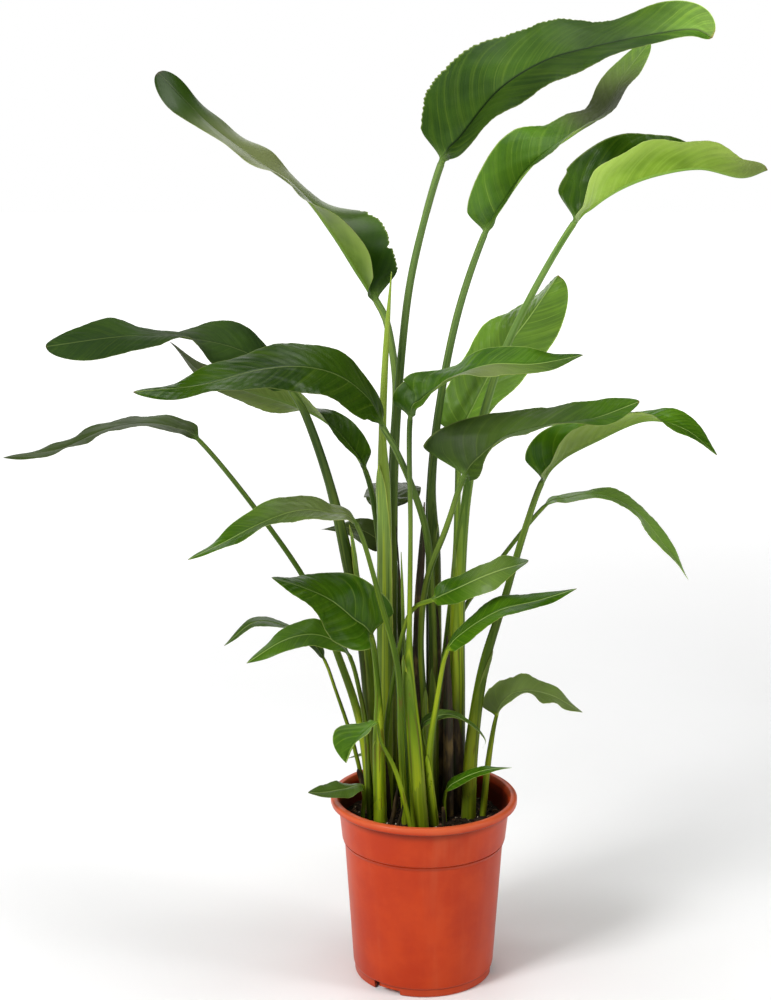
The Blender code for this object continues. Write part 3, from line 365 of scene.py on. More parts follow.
        radius=[10.5, 10.5, 8.5, 3.5, 3, 3.5], width=36, shape=(0.35, 0.7), wave=2, waves=3, sweep_left=8,
        left=[12, 66, 27, 8, 27, 40, 43, 25, 25], right=[-15, 0, 9, 5, -14, -20, -16, -20, -5],
        painted_shading=[-0.2, 0, 0.1, -0.1, -0.2], light=[-0.2, 0.1, 0.5, 0.7, 0.8, 0.6, 0.3],
        grey_and_sheen_right=[0, 0.1, 0.5, 0.9, 0.6, 0.2, 0], dull=0.3),
    "leaf_14": dict(
        stalk=[(24, 47, 205), (24, 48, 335), (34, 48, 444), (41, 52, 542), (43, 64, 625)],
        rib=[(46, 75, 690), (64, 88, 732), (97, 106, 790), (136, 124, 840), (173, 140, 892)],
        radius=[9, 8.5, 7, 4.5, 4, 4], width=50, shape=(0.36, 0.42), wave=2, waves=4, sweep_left=12,
        sweep_right=12,
        left=[60, 45, 30, 24, 26, 25, 4, -14, -22], right=[-10, -6, -10, -21, -32, -40, -52, -50, -40],
        painted_shading=[-0.3, -0.92, -0.6, -0.35, -0.1, 0.1, 0.2, 0.3, 0.4, 0.5, 0.5],
        light=[1.2, 1.3, 1.4, 1.4, 1.2], grey_and_sheen=0.25, rib_paleness_and_groove_shade=0.35),
    "leaf_15": dict(
        stalk=[(6, 10, 205), (0, 2, 351), (-5, -8, 447), (2, -20, 528), (24, -38, 596)],
        rib=[(45, -55, 665), (64, -64, 693), (98, -80, 721), (144, -96, 736), (195, -113, 747),
             (244, -130, 769)],
        radius=[4.5, 4.5, 4, 4, 3.8, 3.8], width=48, shape=(0.25, 0.6), wave=3, waves=3, sweep_left=60,
        left=[66, 66, 46, 25, 23, 32, 30, 43, 28], right=[-20, -26, -12, 0, 3, 3, 0, -28, -35],
        painted_shading=[-0.7, -0.6, -0.5, -0.3, 0], light=[-0.25, -0.15, -0.05, 0, 0.1, 0.2],
        grey_and_sheen=[0.2, 0.3, 0.3, 0.2, 0, 0], pleat=0.6, dull=0.4),
    "leaf_16": dict(
        stalk=[(58, 9, 205), (62, 10, 307), (76, 9, 409), (100, 4, 496), (121, -3, 578)],
        rib=[(143, -10, 649), (165, -15, 679), (206, -24, 704), (265, -36, 731), (312, -47, 722),
             (349, -60, 693)],
        radius=[9.5, 9, 7, 5, 4.5, 4], width=44, shape=(0.4, 0.65), wave=2, waves=3, sweep_left=20,
        left=[36, 80, 55, 34, 20, 12, 24, 23, 10], right=[10, 10, 33, 35, 28, 20, 0, 0, 5],
        painted_shading=[-0.45, -0.55, -0.45, -0.2, 0], light_left=[1.3, 1.4, 1.2, 0.8, 0.5],
        light_right=[-0.1, 0, 0.2, 0.6, 0.7], grey_and_sheen_right=[0.3, 0.4, 0.2, 0, 0]),
    "leaf_17": dict(
        stalk=[(49, 66, 205), (43, 64, 358), (47, 65, 452), (86, 72, 513)],
        rib=[(154, 85, 597), (183, 90, 608), (226, 95, 613), (276, 103, 590), (318, 110, 540),
             (351, 115, 493)],
        radius=[3.5, 3.5, 3, 3, 2.8], width=20, shape=(0.45, 0.7), wave=1, waves=3,
        left=[5, 6, 0, 20, 22, 27, 35, 40, 16], right=[-2, -5, -5, -5, -9, -28, -20, -10, -5],
        painted_shading=[-0.8, -0.6, -0.4, 0], light=1.6, grey_and_sheen=0.3, rib_paleness_and_groove_shade=0.3, swell=[1, 1.15, 1.4, 1.45, 1.2]),
    "leaf_18": dict(
        stalk=[(-46, 1, 205), (-49, 1, 311), (-37, -22, 414), (-19, -26, 487)],
        rib=[(8, -45, 509), (36, -57, 526), (77, -75, 550), (121, -100, 571)],
        radius=[3.5, 3.5, 3, 3, 3], width=23, shape=(0.42, 0.45), wave=1, waves=3,
        left=[60, 64, 42, 34, 35, 38, 45, 24, 10], right=[-50, -43, -54, -50, -53, -65, -46, -28, -10],
        painted_shading=[-0.2, -0.2, -0.1], light=[0.2, 0.3, 0.9, 0.7, 0.2], grey_and_sheen=[0, 0, 0.4, 0.4, 0]),
    "leaf_19": dict(
        stalk=[(13, -20, 205), (6, -30, 295), (16, -46, 387)],
        rib=[(26, -60, 448), (48, -70, 477), (89, -85, 507), (136, -100, 524), (178, -115, 542)],
        radius=[5.5, 5, 3.5, 3], width=23, shape=(0.45, 0.8), wave=1, waves=3,
        left=[20, 22, 27, 34, 38, 27, 21, 17, 10], right=[-56, -41, -36, -25, -14, -20, -20, -34, -23],
        painted_shading=[-0.2, -0.2, -0.2], light=0.5),
    "leaf_20": dict(
        stalk=[(77, 12, 205), (83, 14, 274)],
        rib=[(93, 20, 335), (105, 25, 358), (127, 30, 367), (164, 42, 358), (208, 55, 330)],
        radius=[4.5, 4, 2.5], width=26, shape=(0.4, 0.7), wave=3, waves=3, sweep_left=12, sweep_right=12,
        left=[36, 55, 45, 40, 33, 34, 26, 22, 10], right=[0, 11, 6, 8, -15, -18, -20, -20, -10],
        edge_left="torn", painted_shading=[-0.4, -0.5, -0.4], light=[0.7, 1.1, 1, 1.3, 1.2], grey_and_sheen=0.7),
    "leaf_21": dict(
        stalk=[(-16, -48, 205), (-35, -52, 284), (-55, -56, 329)],
        rib=[(-60, -60, 356), (-72, -65, 348), (-88, -73, 332), (-98, -80, 310)],
        radius=[3, 3, 2, 1.8], width=34, shape=(0.6, 0.8), wave=1, waves=2,
        left=[5, 25, 26, 27, 29, 32, 35, 37, 45], right=[0, -15, -5, 5, 20, 45, 60, 70, 70],
        light=1.3, grey_and_sheen=0.1),
    "leaf_22": dict(
        stalk=[(-79, -8, 205)],
        rib=[(-78, -10, 252), (-101, -30, 257), (-126, -50, 260), (-146, -65, 265)],
        radius=[3, 2.5], width=16, shape=(0.45, 0.7), wave=1, waves=2,
        left=[-60, -22, -12, -24, -23, -21, -18, -14, -10], right=[0, -11, 5, 21, 22, 23, 35, 20, 10],
        light=0.3, grey_and_sheen=0.35),
    "leaf_23": dict(
        stalk=[(27, -8, 205)],
        rib=[(28, -9, 245), (48, -16, 265), (79, -26, 281), (110, -35, 287)],
        radius=[2.5, 2], width=12, shape=(0.5, 0.9), wave=1, waves=2,
        left=[31, 32, 25, 27, 20, 11, 0, 0, 0], right=[-29, -28, -24, -24, -19, -15, -13, -5, 0],
        light=0.9),
    "leaf_24": dict(
        stalk=[(16, -1, 205), (7, -14, 279)],
        rib=[(-3, -20, 331), (5, -22, 347), (32, -28, 355), (60, -34, 342), (76, -38, 325), (73, -38, 314)],
        radius=[2.5, 2.2, 1.8], width=11, shape=(0.45, 1.3), wave=0, waves=1,
        left=[25, 27, 27, 17, 15, 12, 20, 10, 0], right=[-10, -23, -17, -10, 10, 18, 10, 0, 0],
        light=0.3, grey_and_sheen=0.3),
    "leaf_25": dict(
        stalk=[(-19, 75, 205), (-25, 82, 351), (-33, 90, 472)],
        rib=[(-44, 100, 591), (-42, 120, 603), (-38, 150, 610), (-31, 180, 610), (-19, 210, 603)],
        radius=[4.5, 4.5, 4, 3.5], width=38, shape=(0.42, 0.8), wave=2, waves=2, curl_left=-20,
        curl_right=-20,
        left=[15, 10, 10, 5, 0], right=[15, 10, 10, 5, 0],
        painted_shading=[-0.8, -0.7, -0.6], light=-0.5, grey_and_sheen=0.6, lines=0.3),
    "leaf_26": dict(
        stalk=[(-20, 94, 205), (-30, 100, 358), (-38, 108, 465)],
        rib=[(-50, 112, 533), (-69, 116, 554), (-96, 122, 562), (-134, 130, 558)],
        radius=[3.5, 3.5, 3, 2.5], width=22, shape=(0.45, 1.2), wave=1, waves=2,
        left=[-40, -30, -25, -10], right=[50, 45, 30, 10],
        painted_shading=[-0.8, -0.7, -0.6], light=-0.4, grey_and_sheen=0.6, lines=0.3),
    "leaf_27": dict(
        stalk=[(-34, 94, 205)],
        rib=[(-34, 97, 250), (-52, 101, 256), (-77, 104, 254), (-101, 104, 248)],
        radius=[2, 1.8], width=9, shape=(0.5, 0.9), wave=0, waves=1,
        left=[10, 5, 5, 0], right=[10, 10, 5, 0],
        grey_and_sheen=0.3),
}

# Rolled young leaves, dry sheaths and cut stalks: (x, y, z, radius) from the soil up.
RODS = {
    "rolled_leaf_1": [(-51, 18, 205, 10), (-50, 17, 373, 10), (-50, 16, 545, 9.5), (-51, 15, 640, 8.5),
                      (-53, 14, 700, 5), (-51, 12, 769, 4.5), (-47, 10, 840, 3.5), (-42, 8, 907, 0.6)],
    "rolled_leaf_2": [(-18, -2, 205, 3), (-25, -13, 383, 2.8), (-28, -18, 502, 2.2), (-30, -20, 564, 0.5)],
    "dry_sheath_1": [(-8, 46, 205, 7), (-8, 46, 363, 6.5), (-6, 46, 484, 5.5), (-2, 45, 560, 4),
                     (0, 45, 613, 0.8)],
    "dry_sheath_2": [(33, 11, 205, 7), (31, 12, 347, 6), (30, 14, 410, 3.5), (29, 17, 445, 0.6)],
    "dry_stalk": [(-10, 20, 205, 2.2), (-20, 22, 369, 2), (-29, 22, 485, 1.6), (-36, 22, 587, 0.6)],
    "cut_stalk_1": [(-41, -16, 205, 3), (-36, -17, 235, 2.8), (-33, -18, 260, 1)],
    "cut_stalk_2": [(-34, -34, 205, 2), (-30, -35, 222, 1.8), (-27, -36, 238, 0.8)],
    "cut_stalk_3": [(26, -28, 205, 2.8), (25, -29, 220, 2.6), (24, -30, 232, 1.8)],
}

# Sheaths that clasp the foot of a stalk: whose stalk, the height of the tip, the way it faces in degrees
# from the left round by the front, how many degrees of the stalk it covers, its painted light and shade
# from the soil to its tip, as added brightness, and how far the tip stands off. The papery ones are dry.
PLAIN_SHEATH = dict(flare=1.1, painted_shading=0)
SHEATHS = {
    "clasp_01": dict(on="rolled_leaf_1", top=668, facing=55, covers=230, flare=1.8,
                     painted_shading=[-0.4, -0.4, -0.3, 0.1, 0.4, 0.5, 0.6]),
    "clasp_02": dict(on="leaf_13", top=440, facing=35, covers=250, flare=2.2,
                     painted_shading=[-0.35, -0.2, -0.1, 0.2, 0.6]),
    "clasp_03": dict(on="leaf_10", top=318, facing=60, covers=220, painted_shading=[0.1, 0.3, 0.4]),
    "clasp_04": dict(on="leaf_19", top=306, facing=60, covers=210, painted_shading=[0, 0, 0.2]),
    "clasp_05": dict(on="leaf_14", top=480, facing=125, covers=230,
                     painted_shading=[-0.4, -0.85, -0.5, -0.2, -0.1, 0.2]),
    "clasp_06": dict(on="leaf_02", top=580, facing=150, covers=240, painted_shading=[-0.8, -0.8, -0.5, -0.3, -0.2, 0]),
    "clasp_07": dict(on="leaf_03", top=560, facing=35, covers=230, painted_shading=[-0.3, -0.85, -0.4, -0.1, 0.1, 0.4]),
    "clasp_08": dict(on="leaf_16", top=430, facing=140, covers=230, painted_shading=[-0.45, -0.6, -0.6, -0.4]),
    "clasp_09": dict(on="leaf_05", top=590, facing=150, covers=170, flare=6,
                     painted_shading=[-0.4, -0.6, -0.4, 0.1, 0.6, 0.8]),
    "clasp_10": dict(on="leaf_01", top=480, facing=60, covers=200, painted_shading=[-0.7, -0.6, -0.5, -0.3]),
    "clasp_11": dict(on="leaf_04", top=440, facing=150, covers=200, painted_shading=[-0.7, -0.6, -0.5, -0.3]),
    "clasp_12": dict(on="leaf_15", top=380, facing=120, covers=200, painted_shading=[-0.7, -0.6, -0.4]),
    "clasp_13": dict(on="leaf_06", top=400, facing=70, covers=190, painted_shading=[-0.7, -0.6, -0.4]),
    "papery_01": dict(on="leaf_14", top=405, facing=75, covers=120),
    "papery_02": dict(on="leaf_02", top=470, facing=110, covers=110),
    "papery_04": dict(on="leaf_18", top=290, facing=80, covers=150, flare=3),
    "papery_05": dict(on="leaf_12", top=262, facing=80, covers=150, flare=4),
    "papery_06": dict(on="leaf_03", top=345, facing=75, covers=150),
}

# ---------------------------------------------------------------- reading the tables


def metres(lengths):
    return np.array(lengths, float) / 1000


def in_metres(row):
    """A table's row with its lengths turned from millimetres to metres."""
    return {key: metres(value) if key in LENGTHS else value for key, value in row.items()}


def leaf_called(name):
    """All that is said of a leaf: its row, what goes by its size, and what is plain."""
    row = LEAVES[name]
    fineness = next(sizes for least, sizes in FINENESS if row["width"] > least)
    return in_metres({**PLAIN_LEAF, **fineness, **row})


# ---------------------------------------------------------------- curves and lists


def spline(values, at):
    """Catmull-Rom through the values, which stand at whole numbers."""
    values = np.asarray(values, float)
    if values.ndim == 1:
        values = values[:, None]
    ends = np.vstack([2 * values[:1] - values[1:2], values, 2 * values[-1:] - values[-2:-1]])
    i = np.clip(at.astype(int), 0, len(values) - 2)
    t = (at - i)[:, None]
    a, b, c, d = ends[i], ends[i + 1], ends[i + 2], ends[i + 3]
    return 0.5 * (2 * b + (c - a) * t + (2 * a - 5 * b + 4 * c - d) * t**2 + (3 * b - a - 3 * c + d) * t**3)


def steps_along(points, start, end, shares):
    """Spline parameters between two of its points, at the given shares of the length between them."""
    at = np.linspace(start, end, 3000)
    placed = spline(points, at)
    run = np.concatenate([[0.0], np.cumsum(np.linalg.norm(np.diff(placed, axis=0), axis=1))])
    return np.interp(np.asarray(shares) * run[-1], run, at), run[-1]


def unit(vectors):
    return vectors / np.linalg.norm(vectors, axis=-1, keepdims=True)


def smooth(value, low, high):
    """0 below low, 1 above high, and a smooth rise between."""
    t = np.clip((value - low) / (high - low), 0.0, 1.0)
    return t * t * (3 - 2 * t)


def listed(values, share):
    """One number, or a list spread evenly over 0 to 1 and read smoothly."""
    values = np.atleast_1d(values)
    if len(values) == 1:
        return np.full(len(share), float(values[0]))
    return spline(values, np.clip(share, 0.0, 1.0) * (len(values) - 1))[:, 0]


def wander(value, seed):
    """A smooth irregular wave between about -1 and 1."""
    first = np.sin(value * 1.0 + seed * 1.7)
    second = np.sin(value * 2.3 + seed * 4.1)
    third = np.sin(value * 4.9 + seed * 2.9)
    return 0.5 * first + 0.32 * second + 0.18 * third


# ---------------------------------------------------------------- meshes and pieces


def new_mesh(name, points, faces):
    mesh = bpy.data.meshes.new(name)
    mesh.from_pydata(points, [], faces)
    return mesh


def linked(name, data, collection=None):
    """A new object in a collection, or straight in the scene."""
    obj = bpy.data.objects.new(name, data)
    (collection or bpy.context.scene.collection).objects.link(obj)
    return obj


def finish_piece(name, mesh, finish, node):
    """Adds a piece that stands for a CAD node, or for none where it is only in the scene."""
    mesh.shade_smooth()
    mesh.set_sharp_from_angle(angle=math.radians(55))
    mesh.materials.append(finish)
    piece = linked(name, mesh)
    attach(piece, "root")
    if node:
        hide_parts(node)


def add_attribute(mesh, name, columns, grid, faces=2):
    """Three numbers at each point of a mesh, for its material. Both faces of a sheet have the same ones,
    unless a column has its own number for each face."""
    values = [np.broadcast_to(column, (faces, *grid)).ravel() for column in columns]
    attribute = mesh.attributes.new(name, "FLOAT_VECTOR", "POINT")
    attribute.data.foreach_set("vector", np.stack(values, axis=1).astype(np.float32).ravel())


def sheet_faces(stations, wide):
    """Faces of a thin closed sheet, whose upper grid of points comes first and its lower grid after."""
    faces = []
    offset = stations * wide
    for i in range(stations - 1):
        for k in range(wide - 1):
            a, b = i * wide + k, i * wide + k + 1
            c, d = a + wide, b + wide
            faces.append((a, c, d, b))
            faces.append((offset + a, offset + b, offset + d, offset + c))
        a, c = i * wide, (i + 1) * wide
        faces.append((a, offset + a, offset + c, c))
        a, c = a + wide - 1, c + wide - 1
        faces.append((a, c, offset + c, offset + a))
    first = list(range(wide))
    final = [(stations - 1) * wide + k for k in range(wide)]
    faces.append(first + [offset + k for k in reversed(first)])
    faces.append((final + [offset + k for k in reversed(final)])[::-1])
    return faces


def sheet_mesh(name, upper, lower):
    """A thin closed sheet between two grids of points."""
    points = np.concatenate([upper.reshape(-1, 3), lower.reshape(-1, 3)])
    return new_mesh(name, points, sheet_faces(*upper.shape[:2]))


# ---------------------------------------------------------------- the fine leaves


def mirrored(values):
    """Values from a rib to its margin, carried on to the other margin with the other sign."""
    return np.concatenate([-values[::-1], values[1:]])


def across_shares(width, count):
    """Places from the rib to the margin as shares of the half-width, close together at the rib."""
    rest = np.linspace(NEAR_RIB[-1] / width, 1.0, count - len(NEAR_RIB) + 1)[1:]
    return np.concatenate([np.array(NEAR_RIB) / width, rest])


def notches(kind, run, length, seed):
    """How deep the margin is cut back at each station, in metres."""
    share = run / length
    if kind == "teeth":
        tooth = (run / TOOTH_STEP) % 1.0
        reach = smooth(share, 0.03, 0.08) * (1 - smooth(share, 0.60, 0.75))
        return TOOTH_DEPTH * (0.75 + 0.25 * wander(run * 300, seed)) * tooth * reach
    if kind == "torn":
        reach = smooth(share, 0.02, 0.07) * (1 - smooth(share, 0.36, 0.46))
        deep = np.clip(wander(run * 130, seed), 0.0, 1.0) ** 2
        fine = np.abs(wander(run * 900, seed + 1))
        return TEAR_DEPTH * (0.75 * deep + 0.25 * fine) * reach
    return np.zeros_like(run)


def half_across(half_width, rise, curl, camber, lift, cut_back, across):
    """One half of a blade's sections, as (sideways, upward) from the rib, for each station and each point
    across. rise is the half's angle over level at the rib, and curl is how far it has turned at its edge.
    The half bulges by the camber between the rib and the margin, and lift and cut_back move its margin."""
    sideways = np.zeros((len(rise), len(across)))
    upward = np.zeros_like(sideways)
    for k in range(1, len(across)):
        middle = (across[k] + across[k - 1]) / 2
        angle = np.radians(rise + curl * middle + camber * (1 - 2 * middle))
        step = (across[k] - across[k - 1]) * half_width
        sideways[:, k] = sideways[:, k - 1] + step * np.cos(angle)
        upward[:, k] = upward[:, k - 1] + step * np.sin(angle)
    turn = np.radians(rise + curl - camber)[:, None]
    lift = lift[:, None] * across**2
    back = cut_back[:, None] * smooth(across, 0.72, 1.0)
    sideways = sideways - lift * np.sin(turn) - back * np.cos(turn)
    upward = upward + lift * np.cos(turn) - back * np.sin(turn)
    return sideways, upward


def vein_phase(run, beyond, length, spacing, seed):
    """Counts the side veins, which lie half way between whole numbers, along lines that leave the rib and
    lean to the tip."""
    share = np.clip(run / length, 0.0, 1.0)[:, None]
    lean = beyond * (0.45 + 0.75 * share) + 6.0 * beyond**2
    from_base = run[:, None] - lean
    uneven = 0.16 * spacing * wander(from_base / spacing * 2.1, seed)
    return (from_base + uneven) / spacing


def leaf_way(leaf):
    """The stations of a leaf: their places and headings, their shares of the blade's length and distances
    along it, which are 0 on the stalk, their shares of the way up the stalk, and how far the stalk has
    turned into the blade at each. On the blade they stand closer together near its ends."""
    points = np.vstack([leaf["stalk"], leaf["rib"]])
    along = unit(points[1] - points[0])
    path = np.vstack([points[0] - along * BURIED, points])
    joint = len(leaf["stalk"]) + 1
    last = len(path) - 1
    _, stalk_length = steps_along(path, 1, joint, [0.0, 1.0])
    count = max(2, round(stalk_length / STALK_STEP))
    stalk_at, _ = steps_along(path, 1, joint, np.linspace(0.0, 1.0, count + 1)[:-1])
    _, length = steps_along(path, joint, last, [0.0, 1.0])
    even = np.linspace(0.0, 1.0, round(length / leaf["step"]))
    blade_share = 0.7 * even + 0.3 * (1 - np.cos(math.pi * even)) / 2
    blade_at, _ = steps_along(path, joint, last, blade_share)
    at = np.concatenate([[0.0], stalk_at, blade_at])
    ahead = spline(path, np.minimum(at + leaf["steady"], last))
    behind = spline(path, np.maximum(at - leaf["steady"], 0.0))
    tangents = unit(ahead - behind)
    tangents[:2] = along
    share = np.concatenate([np.zeros(len(stalk_at) + 1), blade_share])
    return SimpleNamespace(
        places=spline(path, at),
        tangents=tangents,
        heading=path[-1] - path[joint],
        share=share,
        run=share * length,
        length=length,
        up_stalk=np.clip((at - 1.0) / (joint - 1.0), 0.0, 1.0),
        near_blade=np.clip(at - joint + 1.0, 0.0, 1.0),
        blend=smooth(share, 0.0, BASE_BLEND),
    )


def leaf_sizes(leaf, way):
    """At each station, the radius of the round stalk, the leaf's half-width and its thickness at the rib."""
    radii = leaf["radius"]
    stalk_radius = np.interp(way.up_stalk, np.linspace(0.0, 1.0, len(radii)), radii)
    first, second = leaf["shape"]
    peak = (first / (first + second)) ** first * (second / (first + second)) ** second
    blade_half = leaf["width"] * way.share**first * (1.0 - way.share) ** second / peak
    blade_half = blade_half * listed(leaf["swell"], way.share)
    half = np.maximum(np.maximum(stalk_radius * (1 - way.blend), blade_half), TIP_WIDTH / 2)
    thick = np.where(way.share > 0, radii[-1] * (1.0 - way.share) ** 1.2 * 0.9, stalk_radius)
    return stalk_radius, half, thick


def leaf_directions(leaf, way):
    """Directions square to the path, to the leaf's left and up from its upper face, and how far both
    halves are folded up from there, in degrees."""
    side = np.array([-way.heading[1], way.heading[0], 0.0])
    side = unit(side[None] - (way.tangents @ side)[:, None] * way.tangents)
    up = np.cross(way.tangents, side)
    left, right = listed(leaf["left"], way.share), listed(leaf["right"], way.share)
    roll = (np.radians(left - right) / 2 * way.near_blade)[:, None]
    fold = (left + right) / 2 * way.blend
    return side * np.cos(roll) + up * np.sin(roll), up * np.cos(roll) - side * np.sin(roll), fold


def margin_moves(leaf, way, name, sign, seed):
    """How far the margin of one half is lifted by its waves, and cut back by wear, teeth or tears."""
    envelope = np.sin(math.pi * way.share)
    turn = 0.0 if name == "left" else 0.35
    ripple = leaf["wave"] * np.sin(math.tau * (leaf["waves"] * way.share + turn))
    small = wander(way.run / RUFFLE_LENGTH * math.tau, seed + sign) * way.half / leaf["width"]
    fray = FRAY * np.abs(wander(way.run * 260, seed + 3 * sign)) * envelope
    cuts = notches(leaf["edge_" + name], way.run, way.length, seed) * way.blend
    return (ripple + RUFFLE * leaf["ruffle"] * small) * envelope, cuts + fray


def leaf_middle(leaf, way, across, circle, seed):
    """The middle surface of a leaf, and the count of side veins at its points. Stations run along the
    first axis, and the second goes from the right edge to the left."""
    side, up, fold = leaf_directions(leaf, way)
    blend = way.blend[:, None]
    camber = CAMBER * smooth(way.share, 0.08, 0.35)
    backward = unit(way.heading * np.array([1.0, 1.0, 0.0]))
    near_base = np.clip(1.0 - way.share / 0.4, 0.0, 1.0) ** 2 * way.blend * way.half / leaf["width"]
    halves, phases = [], []
    for sign, name in ((-1, "right"), (1, "left")):
        curl = listed(leaf["curl_" + name], way.share) * way.blend
        lift, cut_back = margin_moves(leaf, way, name, sign, seed)
        out, rise = half_across(way.half, fold, curl, camber, lift, cut_back, across)
        out = circle * way.radius[:, None] * (1 - blend) + out * blend
        behind = (leaf["sweep_" + name] * near_base[:, None] * across**2)[..., None] * backward
        beside = sign * out[..., None] * side[:, None] + (rise * blend)[..., None] * up[:, None]
        halves.append(way.places[:, None] - behind + beside)
        beyond = across[None] * way.half[:, None]
        phases.append(vein_phase(way.run, beyond, way.length, leaf["veins"], seed + sign))
    middle = np.concatenate([halves[0][:, ::-1], halves[1][:, 1:]], axis=1)
    phase = np.concatenate([phases[0][:, ::-1], phases[1][:, 1:] + 0.5], axis=1)
    return middle, phase


def leaf_faces(way, signed, spread):
    """How far the upper and the lower face stand off the middle: round in the stalk, with a shallow
    channel above the soil, and thin in the blade, with a rib below and a groove above."""
    taper = (1.0 - way.share)[:, None]
    blend, half, thick = way.blend[:, None], way.half[:, None], way.thick[:, None]
    beyond = np.abs(signed * half)
    rounded = thick * np.sqrt(np.clip(1.0 - (0.999 * spread) ** 2, 0.0, 1.0))
    above_soil = smooth(way.places[:, 2], CHANNEL_FROM, CHANNEL_FULL)[:, None]
    channel = CHANNEL_DEPTH * thick * np.exp(-((spread / CHANNEL_WIDTH) ** 2)) * above_soil
    edge = MARGIN_THICKNESS + (BLADE_THICKNESS - MARGIN_THICKNESS) * (1 - np.abs(signed) ** 4)
    flat = np.minimum(edge, 0.5 * half) / 2
    rib = np.exp(-((beyond / (RIB_WIDTH * (0.35 + 0.65 * taper))) ** 2)) * thick
    groove = GROOVE_DEPTH * np.exp(-((beyond / GROOVE_WIDTH) ** 2)) * taper**0.5
    top = (rounded - channel) * (1 - blend) + (flat - groove) * blend
    under = rounded * (1 - blend) + (flat + rib * 0.9) * blend
    return top, under


def leaf_relief(leaf, way, signed, phase, seed):
    """Pleats along the side veins and slow buckles, quiet at the rib and fading to the margin and tip."""
    half = way.half[:, None]
    beyond = np.abs(signed * half)
    near = smooth(beyond, 0.001, 0.008) * (1 - 0.6 * smooth(np.abs(signed), 0.8, 1.0)) * way.blend[:, None]
    valley = np.exp(-(((phase % 1.0 - 0.5) / 0.16) ** 2))
    pleat = -PLEAT * leaf["pleat"] * (1.5 * valley + 0.5 * np.cos(math.tau * (phase - 0.5)))
    buckle = leaf["buckle"] * wander(way.run[:, None] * 45 + signed * 4, seed)
    return (pleat + buckle) * near * np.clip(half / 0.02, 0.0, 1.0)


def of_halves(leaf, key, share, signs):
    """What a leaf's row says of each point of the blade: a number, or a list along each half."""
    right = listed(leaf.get(key + "_right", leaf[key]), share)[:, None]
    left = listed(leaf.get(key + "_left", leaf[key]), share)[:, None]
    part = smooth(signs, -0.06, 0.06)
    return right * (1 - part) + left * part


def surface_normals(middle):
    along = np.gradient(middle, axis=0)
    across = np.gradient(middle, axis=1)
    return unit(np.cross(along, across))


def make_leaf(name, seed, finish):
    """A leaf with its stalk. Its material reads the veins' count, the distance from the rib and along the
    leaf; the place on the blade; which face it is, its painted light and shade, and its grey, which is partly
    a painted sheen; and how it is lined."""
    leaf = leaf_called(name)
    way = leaf_way(leaf)
    way.radius, way.half, way.thick = leaf_sizes(leaf, way)
    across = across_shares(leaf["width"], leaf["across"])
    circle = np.sin(np.linspace(0.0, math.pi / 2, len(across)))
    signed, spread = mirrored(across), mirrored(circle)
    middle, phase = leaf_middle(leaf, way, across, circle, seed)
    top, under = leaf_faces(way, signed, spread)
    normals = surface_normals(middle)
    middle = middle + normals * leaf_relief(leaf, way, signed, phase, seed)[..., None]
    mesh = sheet_mesh(name, middle + normals * top[..., None], middle - normals * under[..., None])

    blend = way.blend[:, None]
    beyond = way.half[:, None] * (signed * blend + spread * (1 - blend))
    run = way.run[:, None] + way.places[:, 2:] * (1 - blend)
    signs = np.linspace(-1.0, 1.0, len(signed))
    # Painted light and shade up the stalk.
    painted_shading = listed(leaf["painted_shading"], way.up_stalk)[:, None]
    # Painted light and shade on the blade, and up the stalk.
    light = of_halves(leaf, "light", way.share, signs) * blend + painted_shading * (1 - blend)
    # The blade's own grey, and a painted sheen where it rises with the light.
    grey_and_sheen = of_halves(leaf, "grey_and_sheen", way.share, signs) * blend
    is_upper = np.array([1.0, 0.0]).reshape(2, 1, 1)
    grid = phase.shape
    add_attribute(mesh, "veins", [phase, beyond, run], grid)
    add_attribute(mesh, "place", [way.share[:, None], np.abs(signed) * blend, blend], grid)
    add_attribute(mesh, "look", [is_upper, light, grey_and_sheen], grid)
    add_attribute(mesh, "lines", [leaf["rib_paleness_and_groove_shade"], leaf["lines"], leaf["dull"]], grid)
    finish_piece(name + "_fine", mesh, finish, name)


# ---------------------------------------------------------------- materials


